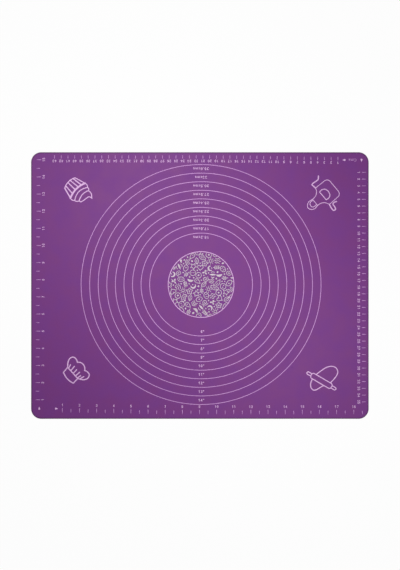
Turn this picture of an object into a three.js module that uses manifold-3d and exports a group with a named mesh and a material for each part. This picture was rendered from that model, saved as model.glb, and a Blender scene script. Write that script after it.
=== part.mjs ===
import * as THREE from 'three';
import { mergeVertices } from 'three/addons/utils/BufferGeometryUtils.js';
import Module from 'manifold-3d';

const wasm = await Module();
wasm.setup();

// The mat unrolled on a table: +X along its length, +Y to its back edge, millimetres
const MAT_LENGTH = 500;
const MAT_WIDTH = 395;
const CORNER_RADIUS = 15;
const CORNER_STEPS = 5;

// Laminate: an underside skin that holds the glass cloth in a shallow tray, and the kneading face over both
const UNDER_SKIN = 0.25;
const CLOTH = 0.15;
const FACE_SKIN = 0.3;
const EDGE_SEAL = 4;
const CLOTH_CLEARANCE = 0.3;

// Cured ink standing on the kneading face
const INK = 0.08;
const INCH = 25.4;
const CENTIMETRE = 10;

// Measuring circles, one for each whole inch of diameter
const CIRCLE_X = 1.75;
const CIRCLE_Y = 1.5;
const FIRST_CIRCLE = 6;
const CIRCLE_LINE = 0.9;
const CIRCLE_STEPS = 34;
const CIRCLE_TO_EDGE = 17;
const CIRCLE_TO_ICON = 3;

// Round panel of small drawings inside the smallest circle: a rim and one ink film pierced by its gaps
const PANEL_DIAMETER = 98.5;
const PANEL_LINE = 1.05;
const PANEL_GAP = 0.4;
const PANEL_BORDER = 1.2;
const PANEL_PITCH = 8.8;
const PANEL_WEB = 0.9;
const PANEL_HOLE_CORNERS = 7;

// Ruler marks: a long one on each whole unit, a short one on each half inch
const MARK_LINE = 0.84;
const MARK_LINK = 0.25;
const INCH_MARK = 6.6;
const HALF_INCH_MARK = 5.2;
const CM_MARK_BACK = 5;
const CM_MARK_RIGHT = 6;
const FRONT_INSET = 6.8;
const LEFT_INSET = 6.4;
const BACK_INSET = 4.4;
const RIGHT_INSET = 3.9;
const FRONT_ZERO = 20.8;
const LEFT_ZERO = 2.9;
const BACK_ZERO = 35.5;
const RIGHT_ZERO = 19.8;
const FRONT_FREE_END = 9;
const LEFT_FREE_END = 8;
const BACK_FREE_END = 28;
const RIGHT_FREE_END = 20;

// Arrowheads that show where each ruler starts, drawn in at the tail
const ARROW_LENGTH = 4.7;
const ARROW_BREADTH = 3.4;
const ARROW_TAIL = 1;
const ARROW_TAIL_BREADTH = 1.9;
const INCH_ARROW_UP_X = 12;
const INCH_ARROW_UP_Y = 15.9;
const INCH_ARROW_RIGHT_X = 37.6;
const INCH_ARROW_RIGHT_Y = 15.1;
const CM_ARROW_LEFT_X = 36.5;
const CM_ARROW_LEFT_Y = 11.5;
const CM_ARROW_DOWN_X = 10.5;
const CM_ARROW_DOWN_Y = 12;

// Corner drawings in one pen width, each tilted, with the distance of its centre from its two mat edges
const PEN = 1.4;
const PEN_ROUND = 8;
const CURVE_STEPS = 6;
const DEGREE = Math.PI / 180;
// Rise of a quarter circle over its chord, as a share of its radius
const QUARTER_RISE = 1 - Math.SQRT1_2;

const CUPCAKE_X = 70;
const CUPCAKE_Y = 55.6;
const CUPCAKE_TILT = -132 * DEGREE;
const CUP_RIM = 31;
const CUP_FOOT = 23;
const CUP_DEPTH = 17;
const CUP_BOW = 3.2;
const CUP_FLUTES = 4;
const ICING_TIERS = 2;
const ICING_RISE = 6;
const ICING_STEP = 2.5;
const ICING_LEAN = 1.2;
const ICING_BULGE = 2.4;
const ICING_TIP = 11;
const CUP_OFFSET_X = 3;

const APRON_X = 66;
const APRON_Y = 61.2;
const APRON_TILT = 131 * DEGREE;
const APRON_HEM = 31;
const APRON_WAIST = 32;
const APRON_SKIRT = 21;
const APRON_HEM_ROUND = 6;
const APRON_BIB = 13;
const APRON_BIB_RISE = 16;
const APRON_BIB_HOLLOW = 3.8;
const APRON_STRAP = 14;
const APRON_STRAP_BREADTH = 3;
const APRON_COLLAR = 9.5;
const TIE_PEN = 2.1;
const TIE_RISE = 1.5;
const LONG_TIE = 7;
const LONG_TIE_FALL = 14.5;
const LOOPED_TIE = 11;
const LOOPED_TIE_GAP = 5.2;
const LOOPED_TIE_FALL = 6.5;
const POCKET_MOUTH = 15.5;
const POCKET_DEPTH = 11;
const POCKET_DROP = 0.5;
const APRON_WAIST_Y = 3;
const APRON_MIDDLE_X = -1.5;

const HAT_X = 67;
const HAT_Y = 71.6;
const HAT_TILT = -49 * DEGREE;
const HAT_BAND = 22.8;
const HAT_BAND_HEIGHT = 9.6;
const HAT_BAND_BOW = 2.3;
const HAT_SIDE_PUFF = 9;
const HAT_TOP_PUFF = 4.2;
const HAT_NOTCH = 16.2;
const HAT_NOTCH_RISE = 17.6;
const HAT_PLEATS = 5;
const HAT_PLEAT = 8;
const HAT_PLEAT_FAN = 1.25;
const HAT_BAND_Y = -7;

const PIN_X = 70.3;
const PIN_Y = 55.9;
const PIN_TILT = -33 * DEGREE;
const PIN_BODY = 35;
const PIN_BREADTH = 7.4;
const PIN_CORNER = 2.2;
const PIN_HANDLE = 7.4;
const PIN_HANDLE_BREADTH = 4;
const DOUGH_LENGTH = 46.5;
const DOUGH_BREADTH = 28;
const DOUGH_TAPER = 0.16;
const DOUGH_OFFSET_X = 1.2;
const DOUGH_OFFSET_Y = 5;
const DOUGH_LEAN = -14 * DEGREE;

const TRAY_Z = UNDER_SKIN;
const SEAM_Z = UNDER_SKIN + CLOTH;
const FACE_Z = SEAM_Z + FACE_SKIN;

// Materials
const silicone = () => new THREE.MeshStandardMaterial({ color: '#7c4288', roughness: 0.5, metalness: 0 });
const underside = () => new THREE.MeshStandardMaterial({ color: '#6f3a7b', roughness: 0.65, metalness: 0 });
const cloth = () => new THREE.MeshStandardMaterial({ color: '#d9dcd8', roughness: 0.7, metalness: 0 });
const ink = () => new THREE.MeshStandardMaterial({ color: '#e9d2ee', roughness: 0.55, metalness: 0 });

// Solids for joining and cutting
function toSolid(geometry) {
  const bare = new THREE.BufferGeometry();
  bare.setAttribute('position', geometry.getAttribute('position'));
  bare.setIndex(geometry.getIndex());
  const welded = mergeVertices(bare, 1e-5);
  return new wasm.Manifold(new wasm.Mesh({
    numProp: 3,
    vertProperties: new Float32Array(welded.getAttribute('position').array),
    triVerts: new Uint32Array(welded.getIndex().array),
  }));
}

function toGeometry(solid) {
  const mesh = solid.getMesh();
  const geometry = new THREE.BufferGeometry();
  geometry.setAttribute('position', new THREE.BufferAttribute(new Float32Array(mesh.vertProperties), 3));
  geometry.setIndex(new THREE.BufferAttribute(new Uint32Array(mesh.triVerts), 1));
  geometry.computeVertexNormals();
  return geometry;
}

// A flat outline given a height
function slab(shape, height, steps) {
  return new THREE.ExtrudeGeometry(shape, { depth: height, bevelEnabled: false, curveSegments: steps });
}

function roundedSheet(inset) {
  const x = MAT_LENGTH / 2 - inset;
  const y = MAT_WIDTH / 2 - inset;
  const r = Math.max(CORNER_RADIUS - inset, 1);
  const shape = new THREE.Shape();
  shape.moveTo(x, r - y);
  shape.absarc(x - r, y - r, r, 0, Math.PI / 2);
  shape.absarc(r - x, y - r, r, Math.PI / 2, Math.PI);
  shape.absarc(r - x, r - y, r, Math.PI, Math.PI * 1.5);
  shape.absarc(x - r, r - y, r, Math.PI * 1.5, Math.PI * 2);
  shape.closePath();
  return shape;
}

// Sheet layers
function underSkin() {
  const blank = toSolid(slab(roundedSheet(0), SEAM_Z, CORNER_STEPS));
  const tray = slab(roundedSheet(EDGE_SEAL), SEAM_Z, CORNER_STEPS);
  tray.translate(0, 0, TRAY_Z);
  return toGeometry(blank.subtract(toSolid(tray)));
}

function glassCloth() {
  return slab(roundedSheet(EDGE_SEAL + CLOTH_CLEARANCE), CLOTH, CORNER_STEPS);
}

function kneadingFace() {
  return slab(roundedSheet(0), FACE_SKIN, CORNER_STEPS);
}

// A ring of ink around the circles' common centre
function inkRing(diameter, line) {
  const shape = new THREE.Shape();
  shape.absarc(0, 0, diameter / 2 + line / 2, 0, Math.PI * 2);
  const hole = new THREE.Path();
  hole.absarc(0, 0, diameter / 2 - line / 2, 0, Math.PI * 2);
  shape.holes.push(hole);
  return slab(shape, INK, CIRCLE_STEPS);
}

// Round film of ink, its gaps set out on a sunflower spiral
function panelFilm() {
  const edge = PANEL_DIAMETER / 2 - PANEL_LINE - PANEL_GAP;
  const turn = Math.PI * (3 - Math.sqrt(5));
  const spread = PANEL_PITCH / Math.sqrt(Math.PI);
  const gap = PANEL_PITCH / 2 - PANEL_WEB / 2;
  const shape = new THREE.Shape();
  shape.absarc(0, 0, edge, 0, Math.PI * 2);
  const count = Math.floor(((edge - PANEL_BORDER - gap) / spread) ** 2);
  for (let i = 0; i < count; i += 1) {
    const reach = spread * Math.sqrt(i + 0.5);
    const middle = new THREE.Vector2(reach, 0).rotateAround(new THREE.Vector2(), turn * i);
    const corners = [];
    for (let k = 0; k < PANEL_HOLE_CORNERS; k += 1) {
      const angle = turn * i - (Math.PI * 2 * k) / PANEL_HOLE_CORNERS;
      corners.push(new THREE.Vector2(middle.x + gap * Math.cos(angle), middle.y + gap * Math.sin(angle)));
    }
    shape.holes.push(new THREE.Path(corners));
  }
  return slab(shape, INK, CIRCLE_STEPS);
}

// Ruler: marks at the given places along +X, linked at their outer ends and growing to one side of the X axis
function rulerMarks(places, lengths, side) {
  const half = MARK_LINE / 2;
  const last = places.length - 1;
  const link = side * MARK_LINK;
  const shape = new THREE.Shape();
  shape.moveTo(places[0] - half, 0);
  shape.lineTo(places[last] + half, 0);
  for (let i = last; i >= 0; i -= 1) {
    const reach = side * lengths[i];
    if (i < last) {
      shape.lineTo(places[i] + half, link);
    }
    shape.lineTo(places[i] + half, reach);
    shape.lineTo(places[i] - half, reach);
    if (i > 0) {
      shape.lineTo(places[i] - half, link);
    }
  }
  shape.closePath();
  return slab(shape, INK, 1);
}

function inchRuler(run, side) {
  const places = [];
  const lengths = [];
  for (let halves = 2; halves * INCH / 2 <= run; halves += 1) {
    places.push(halves * INCH / 2);
    lengths.push(halves % 2 === 0 ? INCH_MARK : HALF_INCH_MARK);
  }
  return rulerMarks(places, lengths, side);
}

function centimetreRuler(run, mark, side) {
  const places = [];
  for (let n = 1; n * CENTIMETRE <= run; n += 1) {
    places.push(n * CENTIMETRE);
  }
  return rulerMarks(places, places.map(() => mark), side);
}

// Arrowhead with its point on +X
function arrowhead(turn) {
  const shape = new THREE.Shape();
  const tail = -ARROW_LENGTH / 2;
  const widest = tail + ARROW_TAIL;
  shape.moveTo(ARROW_LENGTH / 2, 0);
  shape.lineTo(widest, ARROW_BREADTH / 2);
  shape.lineTo(tail, ARROW_TAIL_BREADTH / 2);
  shape.lineTo(tail, -ARROW_TAIL_BREADTH / 2);
  shape.lineTo(widest, -ARROW_BREADTH / 2);
  shape.closePath();
  const geometry = slab(shape, INK, 1);
  geometry.rotateZ(turn);
  return geometry;
}

// Pen strokes
const at = (x, y) => new THREE.Vector2(x, y);

function bow(from, to, rise, steps = CURVE_STEPS) {
  const along = to.clone().sub(from);
  const across = at(-along.y, along.x).normalize();
  const points = [];
  for (let i = 0; i <= steps; i += 1) {
    const t = i / steps;
    points.push(from.clone().addScaledVector(along, t).addScaledVector(across, 4 * rise * t * (1 - t)));
  }
  return points;
}

function arc(from, to, rise, steps = CURVE_STEPS) {
  const chord = to.clone().sub(from);
  const half = chord.length() / 2;
  const radius = (half * half + rise * rise) / (2 * rise);
  const across = at(-chord.y, chord.x).normalize();
  const middle = from.clone().add(to).multiplyScalar(0.5).addScaledVector(across, rise - radius);
  const sweep = -4 * Math.atan2(rise, half);
  const points = [];
  for (let i = 0; i <= steps; i += 1) {
    points.push(from.clone().rotateAround(middle, (sweep * i) / steps));
  }
  return points;
}

function through(knots, steps = CURVE_STEPS) {
  return new THREE.SplineCurve(knots).getPoints(steps);
}

// One stroke: a ribbon of the pen's width along the points, with a round dab at either end
function stroke(points, width) {
  const left = [];
  const right = [];
  points.forEach((point, i) => {
    const before = points[Math.max(i - 1, 0)];
    const after = points[Math.min(i + 1, points.length - 1)];
    const back = point.clone().sub(before).normalize();
    const ahead = after.clone().sub(point).normalize();
    const along = back.add(ahead).normalize();
    const across = at(-along.y, along.x).multiplyScalar(width / 2);
    left.push(point.clone().add(across));
    right.unshift(point.clone().sub(across));
  });
  const ribbon = new THREE.Shape([...right, ...left]);
  let solid = toSolid(slab(ribbon, INK, 1));
  [points[0], points[points.length - 1]].forEach((end) => {
    const dab = new THREE.CylinderGeometry(width / 2, width / 2, INK, PEN_ROUND);
    dab.rotateX(Math.PI / 2);
    dab.translate(end.x, end.y, INK / 2);
    solid = solid.add(toSolid(dab));
  });
  return solid;
}

function drawing(strokes, tilt, others = []) {
  const solids = strokes.map(({ points, width = PEN }) => stroke(points, width));
  const joined = [...solids, ...others].reduce((whole, next) => whole.add(next));
  const geometry = toGeometry(joined);
  geometry.rotateZ(tilt);
  return geometry;
}

// Cupcake: fluted paper cup, tiers of icing, hooked tip
function cupcake() {
  const rimLeft = at(CUP_OFFSET_X - CUP_RIM / 2, 0);
  const rimRight = at(CUP_OFFSET_X + CUP_RIM / 2, 0);
  const footLeft = at(CUP_OFFSET_X - CUP_FOOT / 2, -CUP_DEPTH);
  const footRight = at(CUP_OFFSET_X + CUP_FOOT / 2, -CUP_DEPTH);
  const spans = CUP_FLUTES + 1;
  const rim = bow(rimLeft, rimRight, -CUP_BOW, 2 * spans);
  const foot = bow(footLeft, footRight, -CUP_BOW, 2 * spans);
  const strokes = [{ points: rim }, { points: foot }];
  strokes.push({ points: [footLeft, rimLeft] }, { points: [footRight, rimRight] });
  for (let i = 1; i < spans; i += 1) {
    strokes.push({ points: [foot[2 * i], rim[2 * i]] });
  }
  let left = rimLeft;
  let right = rimRight;
  for (let tier = 1; tier <= ICING_TIERS; tier += 1) {
    const middle = CUP_OFFSET_X - ICING_LEAN * tier;
    const reach = CUP_RIM / 2 - ICING_STEP * tier;
    const nextLeft = at(middle - reach, ICING_RISE * tier);
    const nextRight = at(middle + reach, ICING_RISE * tier);
    strokes.push({ points: bow(nextLeft, nextRight, -CUP_BOW) });
    strokes.push({ points: bow(left, nextLeft, ICING_BULGE, 4) });
    strokes.push({ points: bow(right, nextRight, -ICING_BULGE, 4) });
    left = nextLeft;
    right = nextRight;
  }
  const tip = at((left.x * 3 + right.x) / 4, left.y + ICING_TIP);
  strokes.push({ points: bow(left, tip, ICING_BULGE) });
  const crest = at((left.x + right.x) / 2, left.y + ICING_TIP * 0.42);
  const shoulder = at(right.x - ICING_BULGE, right.y + ICING_TIP * 0.3);
  strokes.push({ points: through([right, shoulder, crest, tip], CURVE_STEPS + 4) });
  return drawing(strokes, CUPCAKE_TILT);
}

// Apron: skirt with a rounded hem, waisted bib, neck strap drawn as two lines, a long tie and a looped one
function apron() {
  const x = APRON_MIDDLE_X;
  const y = APRON_WAIST_Y;
  const top = y + APRON_BIB_RISE;
  const skirt = y - APRON_SKIRT;
  const strokes = [];
  [1, -1].forEach((side) => {
    const waist = at(x + side * APRON_WAIST / 2, y);
    const bib = at(x + side * APRON_BIB / 2, top);
    const hem = at(x + side * (APRON_HEM / 2 - APRON_HEM_ROUND), skirt);
    const corner = at(x + side * APRON_HEM / 2, skirt + APRON_HEM_ROUND);
    strokes.push({ points: [waist, corner] });
    strokes.push({ points: arc(hem, corner, -side * APRON_HEM_ROUND * QUARTER_RISE, 4) });
    strokes.push({ points: bow(waist, bib, side * APRON_BIB_HOLLOW) });
  });
  const hemLeft = at(x - APRON_HEM / 2 + APRON_HEM_ROUND, skirt);
  const hemRight = at(x + APRON_HEM / 2 - APRON_HEM_ROUND, skirt);
  strokes.push({ points: [hemLeft, hemRight] });
  const bibLeft = at(x - APRON_BIB / 2, top);
  const bibRight = at(x + APRON_BIB / 2, top);
  const collarLeft = at(bibLeft.x + APRON_STRAP_BREADTH, top);
  const collarRight = at(bibRight.x - APRON_STRAP_BREADTH, top);
  strokes.push({ points: [bibLeft, bibRight] });
  strokes.push({ points: arc(bibLeft, bibRight, APRON_STRAP, CURVE_STEPS + 5) });
  strokes.push({ points: arc(collarLeft, collarRight, APRON_COLLAR, CURVE_STEPS + 3) });
  const longTie = at(x + APRON_WAIST / 2, y);
  const longTieOut = at(longTie.x + LONG_TIE * 0.6, y + TIE_RISE);
  const longTieTurn = at(longTie.x + LONG_TIE, y - LONG_TIE_FALL * 0.3);
  const longTieBack = at(longTie.x + LONG_TIE * 0.8, y - LONG_TIE_FALL * 0.7);
  const longTieEnd = at(longTie.x + LONG_TIE * 1.3, y - LONG_TIE_FALL);
  const longTieKnots = [longTie, longTieOut, longTieTurn, longTieBack, longTieEnd];
  strokes.push({ points: through(longTieKnots, CURVE_STEPS * 2), width: TIE_PEN });
  const looped = at(x - APRON_WAIST / 2, y);
  const loopedOut = at(looped.x - LOOPED_TIE * 0.8, y + TIE_RISE);
  const loopedFar = at(looped.x - LOOPED_TIE, y + TIE_RISE - LOOPED_TIE_GAP / 2);
  const loopedBack = at(looped.x - LOOPED_TIE * 0.75, y + TIE_RISE - LOOPED_TIE_GAP);
  const loopedNear = at(looped.x - LOOPED_TIE * 0.3, y + TIE_RISE - LOOPED_TIE_GAP);
  const loopedEnd = at(looped.x - LOOPED_TIE * 0.35, y - LOOPED_TIE_GAP - LOOPED_TIE_FALL);
  const loopedKnots = [looped, loopedOut, loopedFar, loopedBack, loopedNear, loopedEnd];
  strokes.push({ points: through(loopedKnots, CURVE_STEPS * 2 + 2), width: TIE_PEN });
  return drawing(strokes, APRON_TILT);
}

function apronPocket() {
  const y = APRON_WAIST_Y - POCKET_DROP;
  const mouthLeft = at(APRON_MIDDLE_X - POCKET_MOUTH / 2, y);
  const mouthRight = at(APRON_MIDDLE_X + POCKET_MOUTH / 2, y);
  const pouch = arc(mouthLeft, mouthRight, -POCKET_DEPTH, CURVE_STEPS + 3);
  return drawing([{ points: [mouthLeft, mouthRight] }, { points: pouch }], APRON_TILT);
}

// Chef's hat: band with a bowed foot, two side puffs and a top puff, pleats fanning from the band
function chefHat() {
  const y = HAT_BAND_Y;
  const bandLeft = at(-HAT_BAND / 2, y);
  const bandRight = at(HAT_BAND / 2, y);
  const footLeft = at(-HAT_BAND / 2, y - HAT_BAND_HEIGHT);
  const footRight = at(HAT_BAND / 2, y - HAT_BAND_HEIGHT);
  const notchLeft = at(-HAT_NOTCH / 2, y + HAT_NOTCH_RISE);
  const notchRight = at(HAT_NOTCH / 2, y + HAT_NOTCH_RISE);
  const strokes = [
    { points: [bandLeft, bandRight] },
    { points: [bandLeft, footLeft] },
    { points: [bandRight, footRight] },
    { points: bow(footLeft, footRight, -HAT_BAND_BOW) },
    { points: arc(bandLeft, notchLeft, HAT_SIDE_PUFF, CURVE_STEPS + 4) },
    { points: arc(notchLeft, notchRight, HAT_TOP_PUFF) },
    { points: arc(notchRight, bandRight, HAT_SIDE_PUFF, CURVE_STEPS + 4) },
  ];
  for (let i = 1; i <= HAT_PLEATS; i += 1) {
    const foot = at(HAT_BAND * (i / (HAT_PLEATS + 1) - 0.5), y);
    strokes.push({ points: [foot, at(foot.x * HAT_PLEAT_FAN, y + HAT_PLEAT)] });
  }
  return drawing(strokes, HAT_TILT);
}

// Rolling pin across a sheet of dough: the dough's outline stops where the pin's body covers it
function doughOutline() {
  const middle = at(DOUGH_OFFSET_X, DOUGH_OFFSET_Y);
  const steps = CURVE_STEPS * 5;
  const points = [];
  for (let i = 0; i <= steps; i += 1) {
    const angle = (Math.PI * 2 * i) / steps;
    const breadth = DOUGH_BREADTH / 2 * (1 + DOUGH_TAPER * Math.sin(angle));
    const point = at(breadth * Math.cos(angle), DOUGH_LENGTH / 2 * Math.sin(angle));
    points.push(point.add(middle).rotateAround(middle, DOUGH_LEAN));
  }
  return points;
}

function uncoveredDough() {
  const cover = new THREE.BoxGeometry(PIN_BODY, PIN_BREADTH, INK * 4);
  return stroke(doughOutline(), PEN).subtract(toSolid(cover));
}

function rollingPin() {
  const x = PIN_BODY / 2;
  const y = PIN_BREADTH / 2;
  const c = PIN_CORNER;
  const strokes = [];
  [1, -1].forEach((side) => {
    strokes.push({ points: [at(c - x, side * y), at(x - c, side * y)] });
    strokes.push({ points: [at(side * x, c - y), at(side * x, y - c)] });
    [1, -1].forEach((edge) => {
      const straight = at(side * (x - c), edge * y);
      const end = at(side * x, edge * (y - c));
      strokes.push({ points: arc(straight, end, side * edge * c * QUARTER_RISE, 3) });
    });
    const gripLow = at(side * x, -PIN_HANDLE_BREADTH / 2);
    const gripHigh = at(side * x, PIN_HANDLE_BREADTH / 2);
    const far = side * (x + PIN_HANDLE - PIN_HANDLE_BREADTH / 2);
    const farLow = at(far, -PIN_HANDLE_BREADTH / 2);
    const farHigh = at(far, PIN_HANDLE_BREADTH / 2);
    strokes.push({ points: [gripLow, farLow] }, { points: [gripHigh, farHigh] });
    strokes.push({ points: arc(farHigh, farLow, side * PIN_HANDLE_BREADTH / 2) });
  });
  return drawing(strokes, PIN_TILT, [uncoveredDough()]);
}

// Assembly
const group = new THREE.Group();
group.name = 'pastry_mat';

function addMesh(parent, name, geometry, material, x, y, z) {
  const mesh = new THREE.Mesh(geometry, material);
  mesh.name = name;
  mesh.position.set(x, y, z);
  parent.add(mesh);
}

const sheet = new THREE.Group();
sheet.name = 'laminate';
group.add(sheet);
addMesh(sheet, 'under_skin', underSkin(), underside(), 0, 0, 0);
addMesh(sheet, 'glass_cloth', glassCloth(), cloth(), 0, 0, TRAY_Z);
addMesh(sheet, 'kneading_face', kneadingFace(), silicone(), 0, 0, SEAM_Z);

const print = new THREE.Group();
print.name = 'print';
print.position.z = FACE_Z;
group.add(print);

const edgeX = MAT_LENGTH / 2;
const edgeY = MAT_WIDTH / 2;
const drawings = [
  { name: 'cupcake_print', make: cupcake, x: CUPCAKE_X - edgeX, y: edgeY - CUPCAKE_Y },
  { name: 'apron_print', make: apron, x: edgeX - APRON_X, y: edgeY - APRON_Y },
  { name: 'apron_pocket_print', make: apronPocket, x: edgeX - APRON_X, y: edgeY - APRON_Y },
  { name: 'chef_hat_print', make: chefHat, x: HAT_X - edgeX, y: HAT_Y - edgeY },
  { name: 'rolling_pin_print', make: rollingPin, x: edgeX - PIN_X, y: PIN_Y - edgeY },
];
let room = edgeY - CIRCLE_TO_EDGE - CIRCLE_Y;
drawings.forEach(({ name, make, x, y }) => {
  const geometry = make();
  geometry.computeBoundingSphere();
  const middle = at(x - CIRCLE_X, y - CIRCLE_Y);
  room = Math.min(room, middle.length() - geometry.boundingSphere.radius - CIRCLE_TO_ICON);
  addMesh(print, name, geometry, ink(), x, y, 0);
});

for (let n = FIRST_CIRCLE; n * INCH / 2 + CIRCLE_LINE / 2 <= room; n += 1) {
  const name = `circle_${String(n).padStart(2, '0')}_inch`;
  addMesh(print, name, inkRing(n * INCH, CIRCLE_LINE), ink(), CIRCLE_X, CIRCLE_Y, 0);
}
addMesh(print, 'panel_rim', inkRing(PANEL_DIAMETER - PANEL_LINE, PANEL_LINE), ink(), CIRCLE_X, CIRCLE_Y, 0);
addMesh(print, 'panel_film', panelFilm(), ink(), CIRCLE_X, CIRCLE_Y, 0);

const frontRuler = inchRuler(MAT_LENGTH - FRONT_ZERO - FRONT_FREE_END, 1);
addMesh(print, 'front_inch_ruler', frontRuler, ink(), FRONT_ZERO - edgeX, FRONT_INSET - edgeY, 0);
const leftRuler = inchRuler(MAT_WIDTH - LEFT_ZERO - LEFT_FREE_END, -1);
leftRuler.rotateZ(Math.PI / 2);
addMesh(print, 'left_inch_ruler', leftRuler, ink(), LEFT_INSET - edgeX, LEFT_ZERO - edgeY, 0);
const backRuler = centimetreRuler(MAT_LENGTH - BACK_ZERO - BACK_FREE_END, CM_MARK_BACK, 1);
backRuler.rotateZ(Math.PI);
addMesh(print, 'back_cm_ruler', backRuler, ink(), edgeX - BACK_ZERO, edgeY - BACK_INSET, 0);
const rightRuler = centimetreRuler(MAT_WIDTH - RIGHT_ZERO - RIGHT_FREE_END, CM_MARK_RIGHT, -1);
rightRuler.rotateZ(-Math.PI / 2);
addMesh(print, 'right_cm_ruler', rightRuler, ink(), edgeX - RIGHT_INSET, edgeY - RIGHT_ZERO, 0);

const quarter = Math.PI / 2;
addMesh(print, 'inch_arrow_up', arrowhead(quarter), ink(), INCH_ARROW_UP_X - edgeX, INCH_ARROW_UP_Y - edgeY, 0);
addMesh(print, 'inch_arrow_right', arrowhead(0), ink(), INCH_ARROW_RIGHT_X - edgeX, INCH_ARROW_RIGHT_Y - edgeY, 0);
addMesh(print, 'cm_arrow_left', arrowhead(Math.PI), ink(), edgeX - CM_ARROW_LEFT_X, edgeY - CM_ARROW_LEFT_Y, 0);
addMesh(print, 'cm_arrow_down', arrowhead(-quarter), ink(), edgeX - CM_ARROW_DOWN_X, edgeY - CM_ARROW_DOWN_Y, 0);

export default group;
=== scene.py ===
"""Looks of a silicone pastry mat: its laminated sheet, the ink printed on it, and a plain studio.

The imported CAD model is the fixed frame. Shapes are worked out in millimetres in that frame and
made into meshes in metres, so every piece sits at the origin with its place in its mesh.
"""

import functools
import logging
import math
from collections.abc import Callable, Sequence
from dataclasses import dataclass
from enum import Enum

import bpy
import numpy as np
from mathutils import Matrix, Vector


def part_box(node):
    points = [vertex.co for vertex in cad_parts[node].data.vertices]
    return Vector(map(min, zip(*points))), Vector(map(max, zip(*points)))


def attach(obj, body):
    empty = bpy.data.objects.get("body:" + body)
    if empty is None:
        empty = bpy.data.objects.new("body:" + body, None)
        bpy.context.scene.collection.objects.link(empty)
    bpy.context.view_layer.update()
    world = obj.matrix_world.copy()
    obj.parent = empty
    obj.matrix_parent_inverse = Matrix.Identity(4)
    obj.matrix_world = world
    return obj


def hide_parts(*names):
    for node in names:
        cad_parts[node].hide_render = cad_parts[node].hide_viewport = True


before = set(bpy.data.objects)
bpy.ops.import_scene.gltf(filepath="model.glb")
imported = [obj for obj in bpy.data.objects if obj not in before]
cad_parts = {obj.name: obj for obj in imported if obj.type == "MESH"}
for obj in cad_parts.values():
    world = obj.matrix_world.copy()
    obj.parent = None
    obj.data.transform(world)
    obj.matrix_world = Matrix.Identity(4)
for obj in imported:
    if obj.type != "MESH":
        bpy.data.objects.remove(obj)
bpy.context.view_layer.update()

LOG = logging.getLogger("pastry_mat")

MM = 0.001
INCH = 25.4
CENTIMETRE = 10.0
QUARTER = math.pi / 2
BODY = "root"

# Rise of a quarter circle over its chord, as a share of its radius
QUARTER_RISE = 0.29
# Least length that a direction is divided by
TINY = 1e-9

Colour = tuple[float, float, float]
Spot = tuple[float, float]
Range = tuple[float, float]
Ring = tuple[float, float, float]

WHITE = (1.0, 1.0, 1.0, 1.0)
WHOLE: Range = (0.0, 1.0)
# Where most values of a noise lie
MIDST: Range = (0.3, 0.7)


class Slot(Enum):
    """The record's material slots."""

    KNEADING = "kneading_silicone"
    UNDERSIDE = "underside_silicone"
    CLOTH = "glass_cloth"
    INK = "print_ink"


class Ends(Enum):
    """How an open line of ink ends."""

    ROUND = "round"
    SQUARE = "square"


class Corner(Enum):
    """The mat's corners, each by the signs of its place along and across the mat."""

    BACK_LEFT = (-1, 1)
    BACK_RIGHT = (1, 1)
    FRONT_LEFT = (-1, -1)
    FRONT_RIGHT = (1, -1)

    def spot(self, cut: "Cut", inset: Spot) -> Spot:
        """The plan point that lies an inset inside the two edges that meet at the corner."""
        along, across = self.value
        return along * (cut.length / 2 - inset[0]), across * (cut.width / 2 - inset[1])


# Forms

@dataclass(frozen=True)
class Form:
    """A shape under way.

    Args:
        points: Points in millimetres, one row each.
        quads: Four-cornered faces as rows of point numbers.
        triangles: Three-cornered faces as rows of point numbers.
        lip: How much painted shade each point gets at the sheet's cut edge, from 0 to 1, or None.
    """

    points: np.ndarray
    quads: np.ndarray
    triangles: np.ndarray
    lip: np.ndarray | None = None

    @staticmethod
    def joined(forms: Sequence["Form"]) -> "Form":
        """Puts several forms into one.

        Args:
            forms: The forms, whose face numbers are moved on past the points before them.

        Returns:
            One form with all their points and faces.
        """
        first = np.cumsum([0] + [len(form.points) for form in forms])[:-1]
        return Form(
            np.concatenate([form.points for form in forms]),
            np.concatenate([form.quads + start for form, start in zip(forms, first)]),
            np.concatenate([form.triangles + start for form, start in zip(forms, first)]),
        )

    def stamped(self, places: np.ndarray) -> "Form":
        """Repeats the form at many places, as one array sum of places and points.

        Args:
            places: Plan positions in millimetres, one row each.

        Returns:
            One form that holds every copy.
        """
        shift = np.pad(places, ((0, 0), (0, 1)))
        points = (shift[:, None, :] + self.points[None]).reshape(-1, 3)
        step = len(self.points) * np.arange(len(places))[:, None, None]
        return Form(
            points,
            (self.quads[None] + step).reshape(-1, 4),
            (self.triangles[None] + step).reshape(-1, 3),
        )

    def set_down(self, turn: float, x: float, y: float) -> "Form":
        """Turns the form in plan about the origin and then moves it.

        Args:
            turn: Angle in radians, anticlockwise seen from above.
            x: Move along the mat.
            y: Move across the mat.

        Returns:
            The form in its place.
        """
        points = self.points.copy()
        points[:, :2] = turned(self.points[:, :2], turn) + (x, y)
        return Form(points, self.quads, self.triangles)


def grid_quads(rows: int, columns: int, closed_rows: bool, closed_columns: bool) -> np.ndarray:
    """Faces between neighbours of a grid of points that is numbered row by row.

    Args:
        rows: Number of rows.
        columns: Number of points in a row.
        closed_rows: Whether the last row joins the first.
        closed_columns: Whether the last point of a row joins its first.

    Returns:
        Rows of four point numbers, each running along the rows first.
    """
    row = np.arange(rows if closed_rows else rows - 1)[:, None]
    column = np.arange(columns if closed_columns else columns - 1)[None, :]
    ahead = (row + 1) % rows
    beside = (column + 1) % columns
    corners = [
        row * columns + column,
        ahead * columns + column,
        ahead * columns + beside,
        row * columns + beside,
    ]
    return np.stack(np.broadcast_arrays(*corners), axis=-1).reshape(-1, 4)


# Plan curves, all as arrays of points with one row each

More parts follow.
